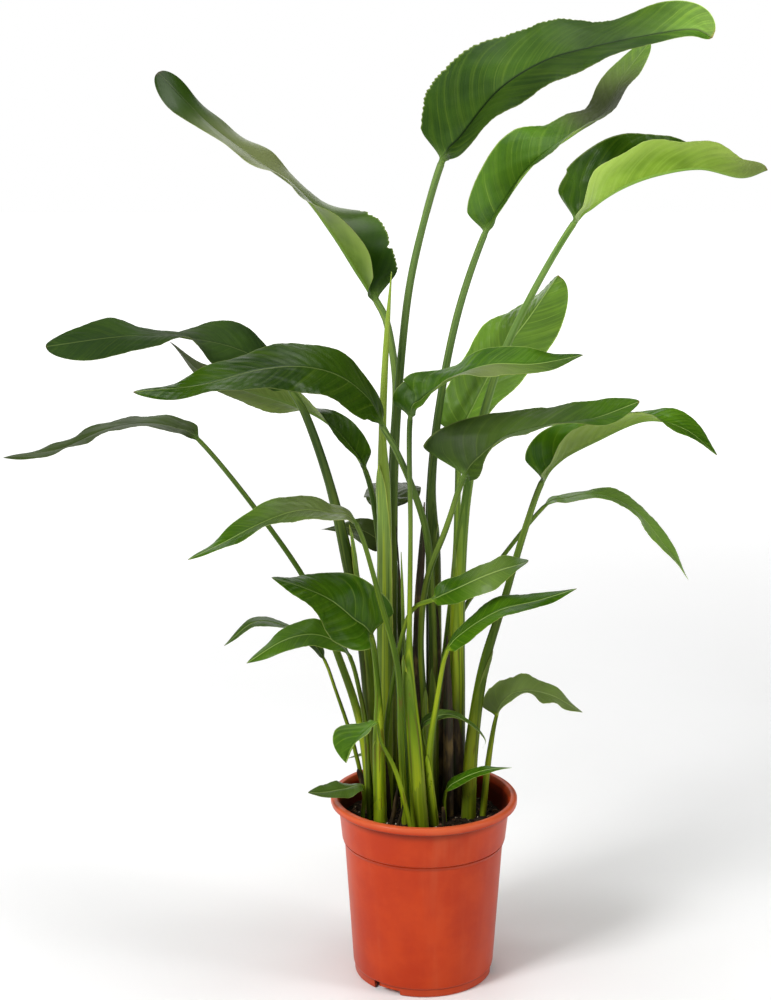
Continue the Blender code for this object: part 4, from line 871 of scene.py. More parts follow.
class Graph:
    """Adds nodes to a tree and joins them. A socket or a plain value may be given for any input."""

    def __init__(self, tree):
        self.tree = tree

    def node(self, kind, inputs, output=0, **settings):
        made = self.tree.nodes.new("ShaderNode" + kind)
        for key, value in settings.items():
            setattr(made, key, value)
        for key, value in inputs.items():
            self.put(made.inputs[key], value)
        return made.outputs[output]

    def put(self, socket, value):
        if isinstance(value, bpy.types.NodeSocket):
            self.tree.links.new(value, socket)
        else:
            socket.default_value = value

    def maths(self, operation, first, second=0.0, third=0.0):
        return self.node("Math", {0: first, 1: second, 2: third}, operation=operation)

    def times(self, first, *others):
        for other in others:
            first = self.maths("MULTIPLY", first, other)
        return first

    def scaled(self, value, factor, offset):
        """The value times a factor, with an offset added."""
        return self.maths("MULTIPLY_ADD", value, factor, offset)

    def mix(self, factor, first, second, blend_type="MIX"):
        first = (*first, 1.0) if isinstance(first, tuple) else first
        second = (*second, 1.0) if isinstance(second, tuple) else second
        inputs = {0: factor, 6: first, 7: second}
        return self.node("Mix", inputs, output=2, data_type="RGBA", blend_type=blend_type)

    def tint(self, base, over, *masks):
        """A colour with another over it, as strongly as the masks and numbers say when multiplied."""
        return self.mix(self.times(*masks), base, over)

    def lit(self, colour, light):
        """A colour made brighter by a share of itself, or darker where the share is below 0."""
        level = self.maths("ADD", 1.0, light)
        return self.mix(1.0, colour, self.node("CombineColor", {0: level, 1: level, 2: level}), "MULTIPLY")

    def rise(self, value, low, high):
        """0 at low, 1 at high, smooth between. Low may be over high."""
        inputs = {"Value": value, "From Min": low, "From Max": high}
        return self.node("MapRange", inputs, interpolation_type="SMOOTHSTEP")

    def band(self, value, start, full, last_full, end):
        """1 from full to last_full, and 0 before the start and after the end."""
        return self.times(self.rise(value, start, full), self.rise(value, end, last_full))

    def noise(self, vector, scale, detail=3.0, roughness=0.55):
        inputs = {"Vector": vector, "Scale": scale, "Detail": detail, "Roughness": roughness}
        return self.node("TexNoise", inputs)

    def stretched_noise(self, vector, stretch, scale=1.0, detail=3.0, roughness=0.55):
        return self.noise(self.stretch(vector, stretch), scale, detail, roughness)

    def stretch(self, vector, scale):
        return self.node("Mapping", {"Vector": vector, "Scale": scale})

    def parts(self, vector):
        made = self.tree.nodes.new("ShaderNodeSeparateXYZ")
        self.tree.links.new(vector, made.inputs[0])
        return made.outputs[0], made.outputs[1], made.outputs[2]

    def attribute(self, name):
        """Its vector, and its three numbers."""
        vector = self.node("Attribute", {}, output=1, attribute_name=name)
        return vector, *self.parts(vector)

    def where(self):
        """The place in the object, and its height."""
        vector = self.node("TexCoord", {}, output=3)
        return vector, self.parts(vector)[2]

    def bump(self, height, distance, strength):
        return self.node("Bump", {"Height": height, "Distance": distance, "Strength": strength})


class Finish(Graph):
    """A new material, made by joining nodes to its shader."""

    def __init__(self, name):
        self.material = bpy.data.materials.new(name)
        self.material.use_nodes = True
        super().__init__(self.material.node_tree)
        self.shader = self.tree.nodes["Principled BSDF"]

    def finish(self, colour, roughness, normal, specular):
        self.put(self.shader.inputs["Base Color"], colour)
        self.put(self.shader.inputs["Roughness"], roughness)
        if normal is not None:
            self.put(self.shader.inputs["Normal"], normal)
        self.shader.inputs["Specular IOR Level"].default_value = specular
        return self.material


def line_at(g, phase, width):
    """1 half way between each whole number of a phase and the next, and 0 away from there."""
    off = g.maths("ABSOLUTE", g.maths("SUBTRACT", g.maths("FRACT", phase), 0.5))
    return g.rise(off, width, 0.0)


def vein_pattern(g, veins, phase, edge, lines):
    """Streaks, hair lines, fine veins and side veins, which all run along the side veins' own count."""
    streaks = g.stretched_noise(veins, (2.2, 9.0, 0.0), detail=4.0)
    broken = g.rise(g.noise(veins, 2.3, 2.0), 0.30, 0.62)
    return SimpleNamespace(
        streaks=g.times(g.rise(streaks, 0.42, 0.75), g.scaled(lines, 0.5, 0.1)),
        hair=g.stretched_noise(veins, (16.0, 14.0, 0.0), detail=2.0),
        fine=line_at(g, g.times(phase, 6.0), 0.22),
        main=g.times(line_at(g, phase, 0.040), g.rise(edge, 0.97, 0.55), broken, lines),
    )


def upper_face(g, broad, away, rib, lines, pattern):
    colour = g.mix(g.rise(broad, 0.32, 0.68), UPPER_DEEP, UPPER_FRESH)
    colour = g.tint(colour, UPPER_PALE, pattern.streaks)
    colour = g.tint(colour, UPPER_DEEP, g.rise(pattern.hair, 0.45, 0.62), 0.24, lines)
    colour = g.tint(colour, UPPER_PALE, pattern.fine, 0.12, lines)
    colour = g.tint(colour, VEIN_PALE, pattern.main, 0.50)
    colour = g.tint(colour, UPPER_DEEP, g.rise(away, 0.0040, 0.0012), 0.55)
    colour = g.tint(colour, RIB_PALE, g.rise(away, 0.0010, 0.0004), rib)
    # Below 0, the middle vein's groove gets a painted shade.
    return g.tint(colour, RIB_GROOVE_SHADE, g.rise(away, 0.0024, 0.0009), rib, -1.0)


def lower_face(g, broad, away, edge, lines, pattern):
    colour = g.mix(g.rise(broad, 0.3, 0.7), UNDER_DEEP, UNDER_FRESH)
    colour = g.tint(colour, UNDER_PALE, pattern.streaks, 0.8)
    # Painted highlight: the lower face grows paler towards the margin.
    colour = g.tint(colour, UNDER_PALE, g.rise(edge, 0.35, 0.95), 0.5)
    colour = g.tint(colour, UNDER_DEEP, pattern.fine, lines, 0.3)
    colour = g.tint(colour, UNDER_DEEP, pattern.main, 0.65)
    return g.tint(colour, RIB_GREEN, g.rise(away, 0.0030, 0.0016), 0.8)


def blade_margins(g, colour, broad, edge, share):
    """The blade's pale thin margin, partly its own colour and partly a painted highlight along the edge,
    browned at its rim and tip.
    """
    # The pale margin is partly a painted highlight along the edge.
    colour = g.tint(colour, MARGIN_PALE, g.rise(edge, 0.965, 0.990), 0.55)
    rim = g.rise(g.maths("ADD", edge, g.times(broad, 0.03)), 1.010, 1.022)
    colour = g.tint(colour, MARGIN_BROWN, rim, 0.7)
    tip = g.rise(g.maths("ADD", share, g.times(broad, 0.02)), 0.998, 1.010)
    return g.tint(colour, MARGIN_BROWN, tip, 0.7)


def stalk_colour(g, veins, spot, height, fibres):
    """Yellow-green at the soil and greener above, with streaks and brown stripes along it."""
    across = g.stretch(spot, (9.0, 9.0, 0.0))
    along = g.node("VectorMath", {0: g.stretch(veins, (0.0, 300.0, 3.5)), 1: across}, operation="ADD")
    stripes = g.noise(along, 1.0, 2.0)
    rusty = g.stretched_noise(along, (1.0, 2.2, 4.0))
    low = g.rise(height, 0.62, 0.34)
    colour = g.mix(g.rise(height, 0.22, 0.42), STALK_FOOT, STALK_MIDDLE)
    colour = g.tint(colour, STALK_HIGH, g.rise(height, 0.42, 0.75))
    colour = g.tint(colour, STALK_DEEP, g.rise(stripes, 0.55, 0.40), 0.62)
    colour = g.tint(colour, STALK_YELLOW, g.rise(stripes, 0.52, 0.64), low, 0.75)
    colour = g.tint(colour, STALK_PALE, g.rise(fibres, 0.42, 0.70), 0.35)
    return g.tint(colour, STALK_BROWN, g.rise(rusty, 0.60, 0.66), low, 0.6)


def leaf_finish():
    """Living leaf: the blade's two faces, its veins and margins, and the stalk, told apart by attributes,
    with painted light and shade and a painted sheen read from the look attribute.
    """
    g = Finish("leaf_living")
    veins, phase, beyond, _ = g.attribute("veins")
    _, share, edge, blade = g.attribute("place")
    _, upper, light, grey_and_sheen = g.attribute("look")
    _, rib, lines, dull_skin = g.attribute("lines")
    spot, height = g.where()
    away = g.maths("ABSOLUTE", beyond)
    broad = g.noise(spot, 14.0, 3.0)
    pattern = vein_pattern(g, veins, phase, edge, lines)
    fibres = g.stretched_noise(veins, (0.0, 700.0, 7.0))

    under = lower_face(g, broad, away, edge, lines, pattern)
    colour = g.mix(upper, under, upper_face(g, broad, away, rib, lines, pattern))
    # Greyed partly for the blade's own grey and partly as a painted sheen.
    colour = g.tint(colour, GREY_AND_SHEEN, grey_and_sheen, 0.75)
    colour = blade_margins(g, colour, broad, edge, share)
    # Painted light and shade: each leaf's look attribute makes its blade and stalk brighter or darker.
    colour = g.lit(g.mix(blade, stalk_colour(g, veins, spot, height, fibres), colour), light)

    hair = g.times(pattern.hair, lines)
    gloss, dull = g.scaled(hair, 0.12, 0.24), g.scaled(hair, 0.16, 0.38)
    roughness = g.node("Mix", {0: g.times(upper, blade), 2: dull, 3: gloss})
    roughness = g.scaled(g.times(dull_skin, blade), 0.45, roughness)
    relief = g.times(g.scaled(pattern.fine, -0.6, g.times(pattern.hair, 0.8)), lines)
    relief = g.scaled(g.times(fibres, g.maths("SUBTRACT", 1.0, blade)), 0.5, relief)
    return g.finish(colour, roughness, g.bump(relief, 0.00026, 0.45), 0.12)


def young_finish():
    """The rolled young leaf: pale, with close parallel veins and a lighter overlapping edge, and painted
    shade under that edge and low down.
    """
    g = Finish("leaf_young")
    veins, _, seam, _ = g.attribute("veins")
    spot, height = g.where()
    fibres = g.stretched_noise(veins, (46.0, 0.0, 5.0))
    broad = g.stretched_noise(spot, (1.0, 1.0, 0.12), 60.0, 2.0)
    colour = g.mix(g.rise(height, 0.30, 0.62), YOUNG_LOW, YOUNG_HIGH)
    colour = g.tint(colour, YOUNG_PALE, g.rise(fibres, 0.40, 0.66), 0.55)
    colour = g.tint(colour, STALK_MIDDLE, g.rise(broad, 0.45, 0.70), 0.45)
    colour = g.tint(colour, YOUNG_PALE, g.rise(seam, 0.86, 0.97), 0.6)
    # Painted shade in the step under the overlapping edge.
    colour = g.tint(colour, STALK_DEEP, g.rise(seam, 0.03, 0.0), 0.7)
    # Painted shade: darker towards the soil, among the other stalks.
    colour = g.tint(colour, STALK_DEEP, g.rise(height, 0.56, 0.36), 0.72)
    return g.finish(colour, 0.36, g.bump(fibres, 0.0004, 0.5), 0.25)


def sheath_finish():
    """The living sheath at a stalk's foot: yellow-green with darker ribs, and a pale, browned margin, with
    painted light and shade from its look attribute.
    """
    g = Finish("sheath_living")
    veins, _, _, edge = g.attribute("veins")
    _, light, _, _ = g.attribute("look")
    _, height = g.where()
    fibres = g.stretched_noise(veins, (900.0, 6.0, 0.0))
    broad = g.stretched_noise(veins, (260.0, 3.0, 0.0), detail=2.0)
    colour = g.mix(g.rise(height, 0.24, 0.46), STALK_FOOT, STALK_MIDDLE)
    colour = g.tint(colour, SHEATH_HIGH, g.rise(height, 0.40, 0.58))
    colour = g.tint(colour, STALK_YELLOW, g.rise(broad, 0.52, 0.64), 0.6)
    colour = g.tint(colour, STALK_DEEP, g.rise(broad, 0.46, 0.34), 0.6)
    colour = g.tint(colour, STALK_PALE, g.rise(fibres, 0.45, 0.70), 0.4)
    colour = g.tint(colour, SHEATH_PALE, g.rise(edge, 0.78, 0.96), 0.5)
    colour = g.tint(colour, STALK_BROWN, g.rise(edge, 0.955, 0.995), 0.7)
    # Painted light and shade from the look attribute.
    return g.finish(g.lit(colour, light), 0.42, g.bump(fibres, 0.0005, 0.6), 0.25)


def dry_finish():
    """Papery dry sheath: brown and tan stripes along it, with paler frayed parts."""
    g = Finish("sheath_dry")
    veins = g.attribute("veins")[0]
    spot, _ = g.where()
    fibres = g.stretched_noise(veins, (30.0, 0.0, 9.0), 1.0, 4.0, 0.65)
    blotch = g.stretched_noise(spot, (1.0, 1.0, 0.25), 70.0)
    colour = g.mix(g.rise(fibres, 0.32, 0.62), DRY_DEEP, DRY_TAN)
    colour = g.tint(colour, DRY_STRAW, g.rise(blotch, 0.50, 0.68), 0.6)
    colour = g.tint(colour, DRY_GREEN, g.rise(blotch, 0.46, 0.34), 0.55)
    return g.finish(colour, g.scaled(fibres, 0.25, 0.5), g.bump(fibres, 0.0008, 0.8), 0.3)


def pot_painted_shade(g, height):
    """Painted shade under the rim, in the step below the collar and in a line over the foot ring."""
    rim = g.band(height, UNDER_RIM - 0.014, UNDER_RIM, UNDER_RIM, UNDER_RIM + 0.0025)
    step_top = COLLAR_FOOT_Z - 0.0005
    step = g.band(height, STEP_Z - 0.002, COLLAR_FOOT_Z - 0.003, step_top, step_top + 0.0015)
    above_foot = g.maths("SUBTRACT", height, FOOT_HEIGHT)
    ring = g.band(above_foot, -0.0016, -0.0004, 0.0002, 0.0014)
    painted_shade = g.maths("MAXIMUM", g.times(rim, 0.6), g.times(step, 0.27))
    return g.maths("MAXIMUM", painted_shade, g.times(ring, 0.45))


def pot_inside(g, spot, height):
    """1 on the faces below the rim that look towards the pot's axis, where the inner wall gets a painted
    shade.
    """
    outward = g.node("VectorMath", {0: g.stretch(spot, (1.0, 1.0, 0.0))}, operation="NORMALIZE")
    normal = g.node("NewGeometry", {}, output=1)
    facing = g.node("VectorMath", {0: outward, 1: normal}, output=1, operation="DOT_PRODUCT")
    return g.times(g.rise(facing, -0.02, -0.08), g.rise(height, UNDER_RIM + 0.004, UNDER_RIM - 0.010))


def pot_finish():
    """Terracotta-coloured plastic: faint flow lines, a fine orange peel and scuffs, with painted shade under
    the rim, in the step, over the foot ring and on the inner wall, and painted light on the top of the rim.
    """
    g = Finish("pot_plastic")
    spot, height = g.where()
    flow = g.stretched_noise(spot, (1.0, 1.0, 0.10), 24.0, 4.0)
    peel = g.noise(spot, 900.0, 2.0)
    cloud = g.noise(spot, 16.0, 4.0, 0.6)
    scuff = g.stretched_noise(spot, (1.0, 1.0, 6.0), 60.0, 5.0, 0.7)
    marks = g.times(g.rise(scuff, 0.66, 0.74), 0.22)
    foot = g.rise(g.maths("ADD", height, g.times(cloud, 0.03)), 0.030, 0.012)
    colour = g.mix(g.rise(cloud, 0.35, 0.65), POT_DEEP, POT_BRIGHT)
    colour = g.tint(colour, POT_CHALK, g.rise(flow, 0.50, 0.72), 0.28)
    colour = g.tint(colour, POT_CHALK, marks)
    colour = g.tint(colour, POT_CHALK, foot, 0.25)
    # Painted shade under the rim, in the step and over the foot ring.
    colour = g.tint(colour, POT_PAINTED_SHADE, pot_painted_shade(g, height))
    # Painted light on the top of the rim.
    colour = g.tint(colour, POT_RIM_PAINTED_LIGHT, g.rise(height, UNDER_RIM + 0.001, POT_HEIGHT - 0.002), 0.55)
    # Painted shade on the inner wall below the rim.
    colour = g.tint(colour, POT_PAINTED_SHADE, pot_inside(g, spot, height), 0.93)
    roughness = g.maths("ADD", g.scaled(flow, 0.16, 0.27), g.times(marks, 0.6))
    relief = g.scaled(peel, 0.12, flow)
    return g.finish(colour, roughness, g.bump(relief, 0.0005, 0.45), 0.2)


def soil_finish():
    """Dark peat with brown clods and pale fibres."""
    g = Finish("soil_peat")
    spot, _ = g.where()
    clod = g.noise(spot, 160.0, 6.0, 0.7)
    grain = g.noise(spot, 900.0, 3.0, 0.7)
    colour = g.mix(g.rise(clod, 0.35, 0.66), SOIL_DEEP, SOIL_BROWN)
    colour = g.tint(colour, SOIL_FIBRE, g.rise(grain, 0.60, 0.70), 0.5)
    return g.finish(colour, 0.93, g.bump(g.scaled(grain, 0.35, clod), 0.002, 0.9), 0.2)


def chip_finish(name, deep, pale, roughness):
    """Bark or pale specks, mottled between two colours."""
    g = Finish(name)
    spot, _ = g.where()
    grain = g.stretched_noise(spot, (1.0, 1.6, 0.7), 420.0, 5.0, 0.7)
    colour = g.mix(g.rise(grain, 0.35, 0.65), deep, pale)
    return g.finish(colour, roughness, g.bump(grain, 0.0008, 0.8), 0.25)


def floor_finish():
    """White paper, which glows a little far from the plant, so that it runs on into the white sky."""
    g = Finish("studio_floor")
    spot, _ = g.where()
    colour = g.mix(g.noise(spot, 3.0, 2.0), (0.90, 0.90, 0.90), (0.93, 0.93, 0.93))
    far = g.rise(g.node("VectorMath", {0: spot}, output=1, operation="LENGTH"), 0.6, 5.0)
    g.put(g.shader.inputs["Emission Color"], (1.0, 1.0, 1.0, 1.0))
    g.put(g.shader.inputs["Emission Strength"], g.times(far, FLOOR_GLOW))
    return g.finish(colour, 0.85, None, 0.1)


# ---------------------------------------------------------------- the pot


def near(radius, height, offsets):
    """Points of a profile round one of its corners: how far out and up from it, in tenths of millimetres."""
    return [(radius + out / 10000, height + up / 10000) for out, up in offsets]


def pot_profile():
    """The pot's outline as (radius, height), from the middle of its floor round to the pad underneath."""
    floor_top = FLOOR_UNDER + FLOOR_THICKNESS
    inside = [
        (0.0, floor_top),
        *near(BODY_FOOT - WALL, floor_top, [(-30, 0), (-8, 8), (0, 30)]),
        (COLLAR_FOOT - STEP - WALL, STEP_Z),
        *near(COLLAR_FOOT - WALL, COLLAR_FOOT_Z, [(-6, -10), (0, 0)]),
        (COLLAR_TOP - WALL, UNDER_RIM),
    ]
    rim = [
        *near(RIM_INSIDE, POT_HEIGHT, [(-4, -30), (0, -15), (5, -6), (14, -1), (30, 0)]),
        *near(RIM_RADIUS, POT_HEIGHT, [(-32, 0), (-20, -3), (-10, -9), (-3, -18), (0, -30)]),
        *near(RIM_RADIUS, UNDER_RIM, [(-1, 22), (-6, 8), (-16, 0)]),
    ]
    collar_step = [(3, 30), (0, 12), (-6, 3), (-14, 0), (-17, -12), (-10, -16), (-12, -24)]
    outside = [
        *near(COLLAR_TOP, UNDER_RIM, [(12, 2), (3, -6), (0, -20)]),
        *near(COLLAR_FOOT, COLLAR_FOOT_Z, collar_step),
        *near(COLLAR_FOOT - STEP, STEP_Z, [(-1, 6), (0, -10)]),
        *near(BODY_FOOT, FOOT_HEIGHT, [(1, 35), (-3, 12), (-12, 2)]),
        *near(FOOT_RADIUS, FOOT_HEIGHT, [(0, -8)]),
        *near(FOOT_RADIUS, 0.0, [(-3, 16), (-7, 4), (-15, 0), (-40, 0)]),
    ]
    under = [
        (FOOT_RADIUS - FOOT_WALL, FLOOR_UNDER),
        (PAD_RADIUS + 0.001, FLOOR_UNDER),
        (PAD_RADIUS, 0.0),
        (0.0, 0.0),
    ]
    return inside + rim + outside + under


def box_cutter(name, size, place, angle, collection):
    """A box turned about the pot's axis, with rounded upper edges."""
    box = bmesh.new()
    bmesh.ops.create_cube(box, size=1.0)
    bmesh.ops.scale(box, vec=size, verts=box.verts)
    upper = [e for e in box.edges if abs(e.verts[0].co.x - e.verts[1].co.x) > 1e-6 and e.verts[0].co.z > 0]
    bmesh.ops.bevel(box, geom=upper, offset=CUT_ROUNDING, segments=4, profile=0.5, affect="EDGES")
    bmesh.ops.translate(box, vec=place, verts=box.verts)
    bmesh.ops.rotate(box, matrix=Matrix.Rotation(angle, 3, "Z"), verts=box.verts)
    mesh = bpy.data.meshes.new(name)
    box.to_mesh(mesh)
    box.free()
    linked(name, mesh, collection)


def hole_cutter(name, place, radius, collection):
    hole = bmesh.new()
    size = dict(segments=32, radius1=radius, radius2=radius, depth=0.02)
    bmesh.ops.create_cone(hole, cap_ends=True, matrix=Matrix.Translation(place), **size)
    mesh = bpy.data.meshes.new(name)
    hole.to_mesh(mesh)
    hole.free()
    linked(name, mesh, collection)


def applied(obj):
    """A mesh of the object with its modifiers worked in."""
    bpy.context.view_layer.update()
    shaped = obj.evaluated_get(bpy.context.evaluated_depsgraph_get())
    return bpy.data.meshes.new_from_object(shaped)


def turned_mesh(name, profile, sides):
    """A profile turned about the upright axis, with its first and last points on the axis."""
    rows = profile[1:-1]
    points, faces = [(0.0, 0.0, profile[0][1])], []
    for radius, height in rows:
        for k in range(sides):
            angle = math.tau * k / sides
            points.append((radius * math.cos(angle), radius * math.sin(angle), height))
    points.append((0.0, 0.0, profile[-1][1]))
    final = len(points) - 1
    for k in range(sides):
        after = (k + 1) % sides
        faces.append((0, 1 + k, 1 + after))
        for i in range(len(rows) - 1):
            low, high = 1 + i * sides, 1 + (i + 1) * sides
            faces.append((low + k, high + k, high + after, low + after))
        faces.append((final, final - sides + after, final - sides + k))
    return new_mesh(name, points, faces)


def scratch_collection(name):
    collection = bpy.data.collections.new(name)
    bpy.context.scene.collection.children.link(collection)
    return collection


def pot_cutters(collection):
    """What is cut from the pot: gaps in its foot ring, slots over them and holes in its floor."""
    place = (FOOT_RADIUS - 0.002, 0.0, 0.0)
    gap = (FOOT_GAP_DEPTH, FOOT_GAP_WIDTH, 2 * FOOT_GAP_HEIGHT)
    slot = (DRAIN_SLOT_DEPTH, DRAIN_SLOT_WIDTH, 2 * DRAIN_SLOT_HEIGHT)
    for i in range(FOOT_GAPS):
        angle = math.radians(FOOT_GAP_ANGLE + 360.0 / FOOT_GAPS * i)
        box_cutter(f"foot_gap_{i}", gap, place, angle, collection)
        box_cutter(f"drain_slot_{i}", slot, place, angle + math.radians(DRAIN_SLOT_STEP), collection)
    for i in range(DRAIN_HOLES):
        angle = math.tau * i / DRAIN_HOLES
        hole = (DRAIN_RING * math.cos(angle), DRAIN_RING * math.sin(angle), FLOOR_UNDER)
        hole_cutter(f"drain_{i}", hole, DRAIN_HOLE_RADIUS, collection)


def make_pot(finish):
    scratch = scratch_collection("scratch")
    cutters = scratch_collection("pot_cutters")
    blank = linked("pot_blank", turned_mesh("pot_blank", pot_profile(), POT_SIDES), scratch)
    pot_cutters(cutters)
    boolean = blank.modifiers.new("cut", "BOOLEAN")
    boolean.operation = "DIFFERENCE"
    boolean.operand_type = "COLLECTION"
    boolean.collection = cutters
    boolean.solver = "EXACT"
    mesh = applied(blank)
    for collection in (scratch, cutters):
        for obj in list(collection.objects):
            bpy.data.objects.remove(obj, do_unlink=True)
        bpy.data.collections.remove(collection)
    finish_piece("pot_fine", mesh, finish, "pot")


# ---------------------------------------------------------------- the soil


def soil_height(x, y):
    """The crumbled top of the soil."""
    broad = noise.noise(Vector((x * 26, y * 26, 1.0)))
    clods = noise.fractal(Vector((x * 120, y * 120, 4.0)), 0.7, 2.0, 5)
    lumps = max(0.0, noise.noise(Vector((x * 75, y * 75, 9.0)))) ** 1.5
    return SOIL_TOP - 0.0010 + 0.0022 * broad + 0.0016 * clods + 0.0060 * lumps


def make_soil(finish):
    """The filling of the pot: crumbled on top, plain where the pot hides it."""
    share = (SOIL_TOP - COLLAR_FOOT_Z) / (UNDER_RIM - COLLAR_FOOT_Z)
    top = COLLAR_FOOT + (COLLAR_TOP - COLLAR_FOOT) * share - WALL - SOIL_GAP
    floor = FLOOR_UNDER + FLOOR_THICKNESS + SOIL_GAP
    below = [
        (COLLAR_FOOT - WALL - SOIL_GAP, COLLAR_FOOT_Z),
        (COLLAR_FOOT - STEP - WALL - SOIL_GAP, STEP_Z),
        (BODY_FOOT - WALL - 0.001, floor + 0.012),
        (BODY_FOOT - WALL - 0.003, floor),
    ]
    rings = [(top * i / SOIL_RINGS, SOIL_TOP) for i in range(1, SOIL_RINGS + 1)]
    mesh = turned_mesh("soil_fine", [(0.0, SOIL_TOP), *rings, *below, (0.0, floor)], SOIL_SECTORS)
    for vertex in mesh.vertices[:1 + SOIL_RINGS * SOIL_SECTORS]:
        vertex.co.z = soil_height(vertex.co.x, vertex.co.y)
    mesh.flip_normals()
    finish_piece("soil_fine", mesh, finish, "soil")


def chip(points, faces, centre, size, turn, seed):
    """Adds one rough crumb to the lists: a low ball pushed in and out."""
    ball = bmesh.new()
    bmesh.ops.create_icosphere(ball, subdivisions=2, radius=1.0)
    start = len(points)
    for vertex in ball.verts:
        rough = 1.0 + 0.55 * noise.noise(vertex.co * 1.3 + Vector((seed, 0.0, 0.0)))
        place = Vector([vertex.co[i] * rough * size[i] for i in range(3)])
        points.append(centre + turn @ place)
    ball.verts.index_update()
    faces += [tuple(start + v.index for v in face.verts) for face in ball.faces]
    ball.free()


def make_chips(name, finish):
    """Crumbs lying on the soil, as one piece. Lots are drawn from a fixed seed."""
    count, least, most, thick, seed = CHIPS[name]
    lots = np.random.default_rng(seed)
    points, faces = [], []
    for number in range(count):
        radius = CHIP_REACH * math.sqrt(lots.random())
        angle = math.tau * lots.random()
        x, y = radius * math.cos(angle), radius * math.sin(angle)
        long = least + (most - least) * lots.random() ** 2
        size = (long, long * (0.5 + 0.4 * lots.random()), long * thick * (0.6 + 0.6 * lots.random()))
        turn = Matrix.Rotation(math.tau * lots.random(), 3, "Z")
        turn @= Matrix.Rotation(0.5 * lots.random(), 3, "X")
        centre = Vector((x, y, soil_height(x, y) + size[2] * 0.45))
        chip(points, faces, centre, size, turn, number * 1.37 + seed)
    finish_piece(name, new_mesh(name, [tuple(p) for p in points], faces), finish, None)


# ---------------------------------------------------------------- rolled leaves, sheaths and cut stalks


def square_to(tangents):
    """Directions square to a path that goes up: to the left and to the back."""
    left = unit(np.cross(tangents, np.array([0.0, 1.0, 0.0])))
    return left[:, None], np.cross(left, tangents)[:, None]


def rod_way(points):
    """The stations of a rod, from under the soil to its tip: places, tangents, radii and distances."""
    along = unit(points[1, :3] - points[0, :3])
    path = np.vstack([points[0, :3] - along * BURIED, points[:, :3]])
    radii = np.concatenate([points[:1, 3], points[:, 3]])
    last = len(path) - 1
    _, length = steps_along(path, 0, last, [0.0, 1.0])
    at, _ = steps_along(path, 0, last, np.linspace(0.0, 1.0, max(12, round(length / ROLL_STEP))))
    placed = spline(path, at)
    tangents = unit(np.gradient(placed, axis=0))
    return placed, tangents, np.interp(at, range(len(radii)), radii), np.linspace(0.0, length, len(at))


def roll_faces(stations):
    faces = []
    for i in range(stations - 1):
        for k in range(RING_POINTS):
            a, b = i * RING_POINTS + k, i * RING_POINTS + (k + 1) % RING_POINTS
            faces.append((a, b, b + RING_POINTS, a + RING_POINTS))
    faces.append(tuple(reversed(range(RING_POINTS))))
    faces.append(tuple((stations - 1) * RING_POINTS + k for k in range(RING_POINTS)))
    return faces


def rolled_mesh(name, points, turns, overlap, rough, seed):
    """A leaf or sheath rolled round itself: each ring is a spiral whose outer edge stands a little proud,
    and the edge winds slowly up the roll. rough makes the ridges of a dry sheath."""
    placed, tangents, radius, run = rod_way(points)
    left, back = square_to(tangents)
    run = run[:, None]
    ring = np.linspace(0.0, 1.0, RING_POINTS)
    angle = math.tau * (ring + turns * run / run[-1])
    spiral = 1.0 + overlap * (ring**1.5 - 0.5)
    ridges = 0.6 * wander(ring * 31.0, seed) + 0.4 * wander(run * 90 + ring * 9, seed)
    reach = radius[:, None] * spiral * (1.0 + rough * ridges)
    outward = np.cos(angle)[..., None] * left + np.sin(angle)[..., None] * back
    outer = placed[:, None] + reach[..., None] * outward
    mesh = new_mesh(name, outer.reshape(-1, 3), roll_faces(len(placed)))
    add_attribute(mesh, "veins", [ring, ring, run], angle.shape, faces=1)
    return mesh


def sheath_path(owner):
    """Places up the stalk that a sheath clasps, with its radius there."""
    if owner in RODS:
        points = metres(RODS[owner])
        return points[:, :3], points[:, 3]
    leaf = leaf_called(owner)
    points = np.vstack([leaf["stalk"], leaf["rib"][:1]])
    count = len(leaf["radius"])
    at = np.linspace(0, count - 1, len(points) + 1)[1:]
    return points, np.interp(at, range(count), leaf["radius"])


def sheath_mesh(name, sheath, gap, seed):
    """A thin shell round part of a stalk, widest at the soil, with wavy margins that meet in a narrow tip."""
    points, radii = sheath_path(sheath["on"])
    tall = sheath["top"] - points[0, 2]
    last = np.interp(sheath["top"], points[:, 2], range(len(points)))
    at = np.linspace(0.0, last, max(30, round(tall / SHEATH_STEP)))
    placed = spline(points, at)
    placed[0] -= (placed[1] - placed[0]) * 2
    left, back = square_to(unit(np.gradient(placed, axis=0)))
    radius = np.interp(at, range(len(radii)), radii)[:, None]
    share = np.linspace(0.0, 1.0, len(at))[:, None]
    across = np.linspace(-1.0, 1.0, SHEATH_ACROSS)
    half_reach = math.radians(sheath["covers"]) / 2 * np.clip(1 - share**2.4, 0.004, 1.0) ** 0.8
    wave = 1 + 0.05 * wander(share * 24 + across * 0.8, seed)
    angle = math.radians(sheath["facing"]) - half_reach * across * wave
    flare = sheath["flare"] * smooth(share, 0.7, 1.0) + 0.0005 * across**6
    uneven = 0.0002 * wander(share * 30 + across * 5, seed + 2)
    inside = (radius + gap + flare + uneven)[..., None]
    outward = np.cos(angle)[..., None] * left - np.sin(angle)[..., None] * back
    outer = placed[:, None] + (inside + SHEATH_THICKNESS) * outward
    mesh = sheet_mesh(name, outer, placed[:, None] + inside * outward)
    # Painted light and shade on the sheath, from the soil to its tip.
    light = listed(sheath["painted_shading"], share[:, 0])[:, None]
    add_attribute(mesh, "veins", [half_reach * across * radius, share * tall, np.abs(across)], angle.shape)
    add_attribute(mesh, "look", [light] * 3, angle.shape)
    return mesh


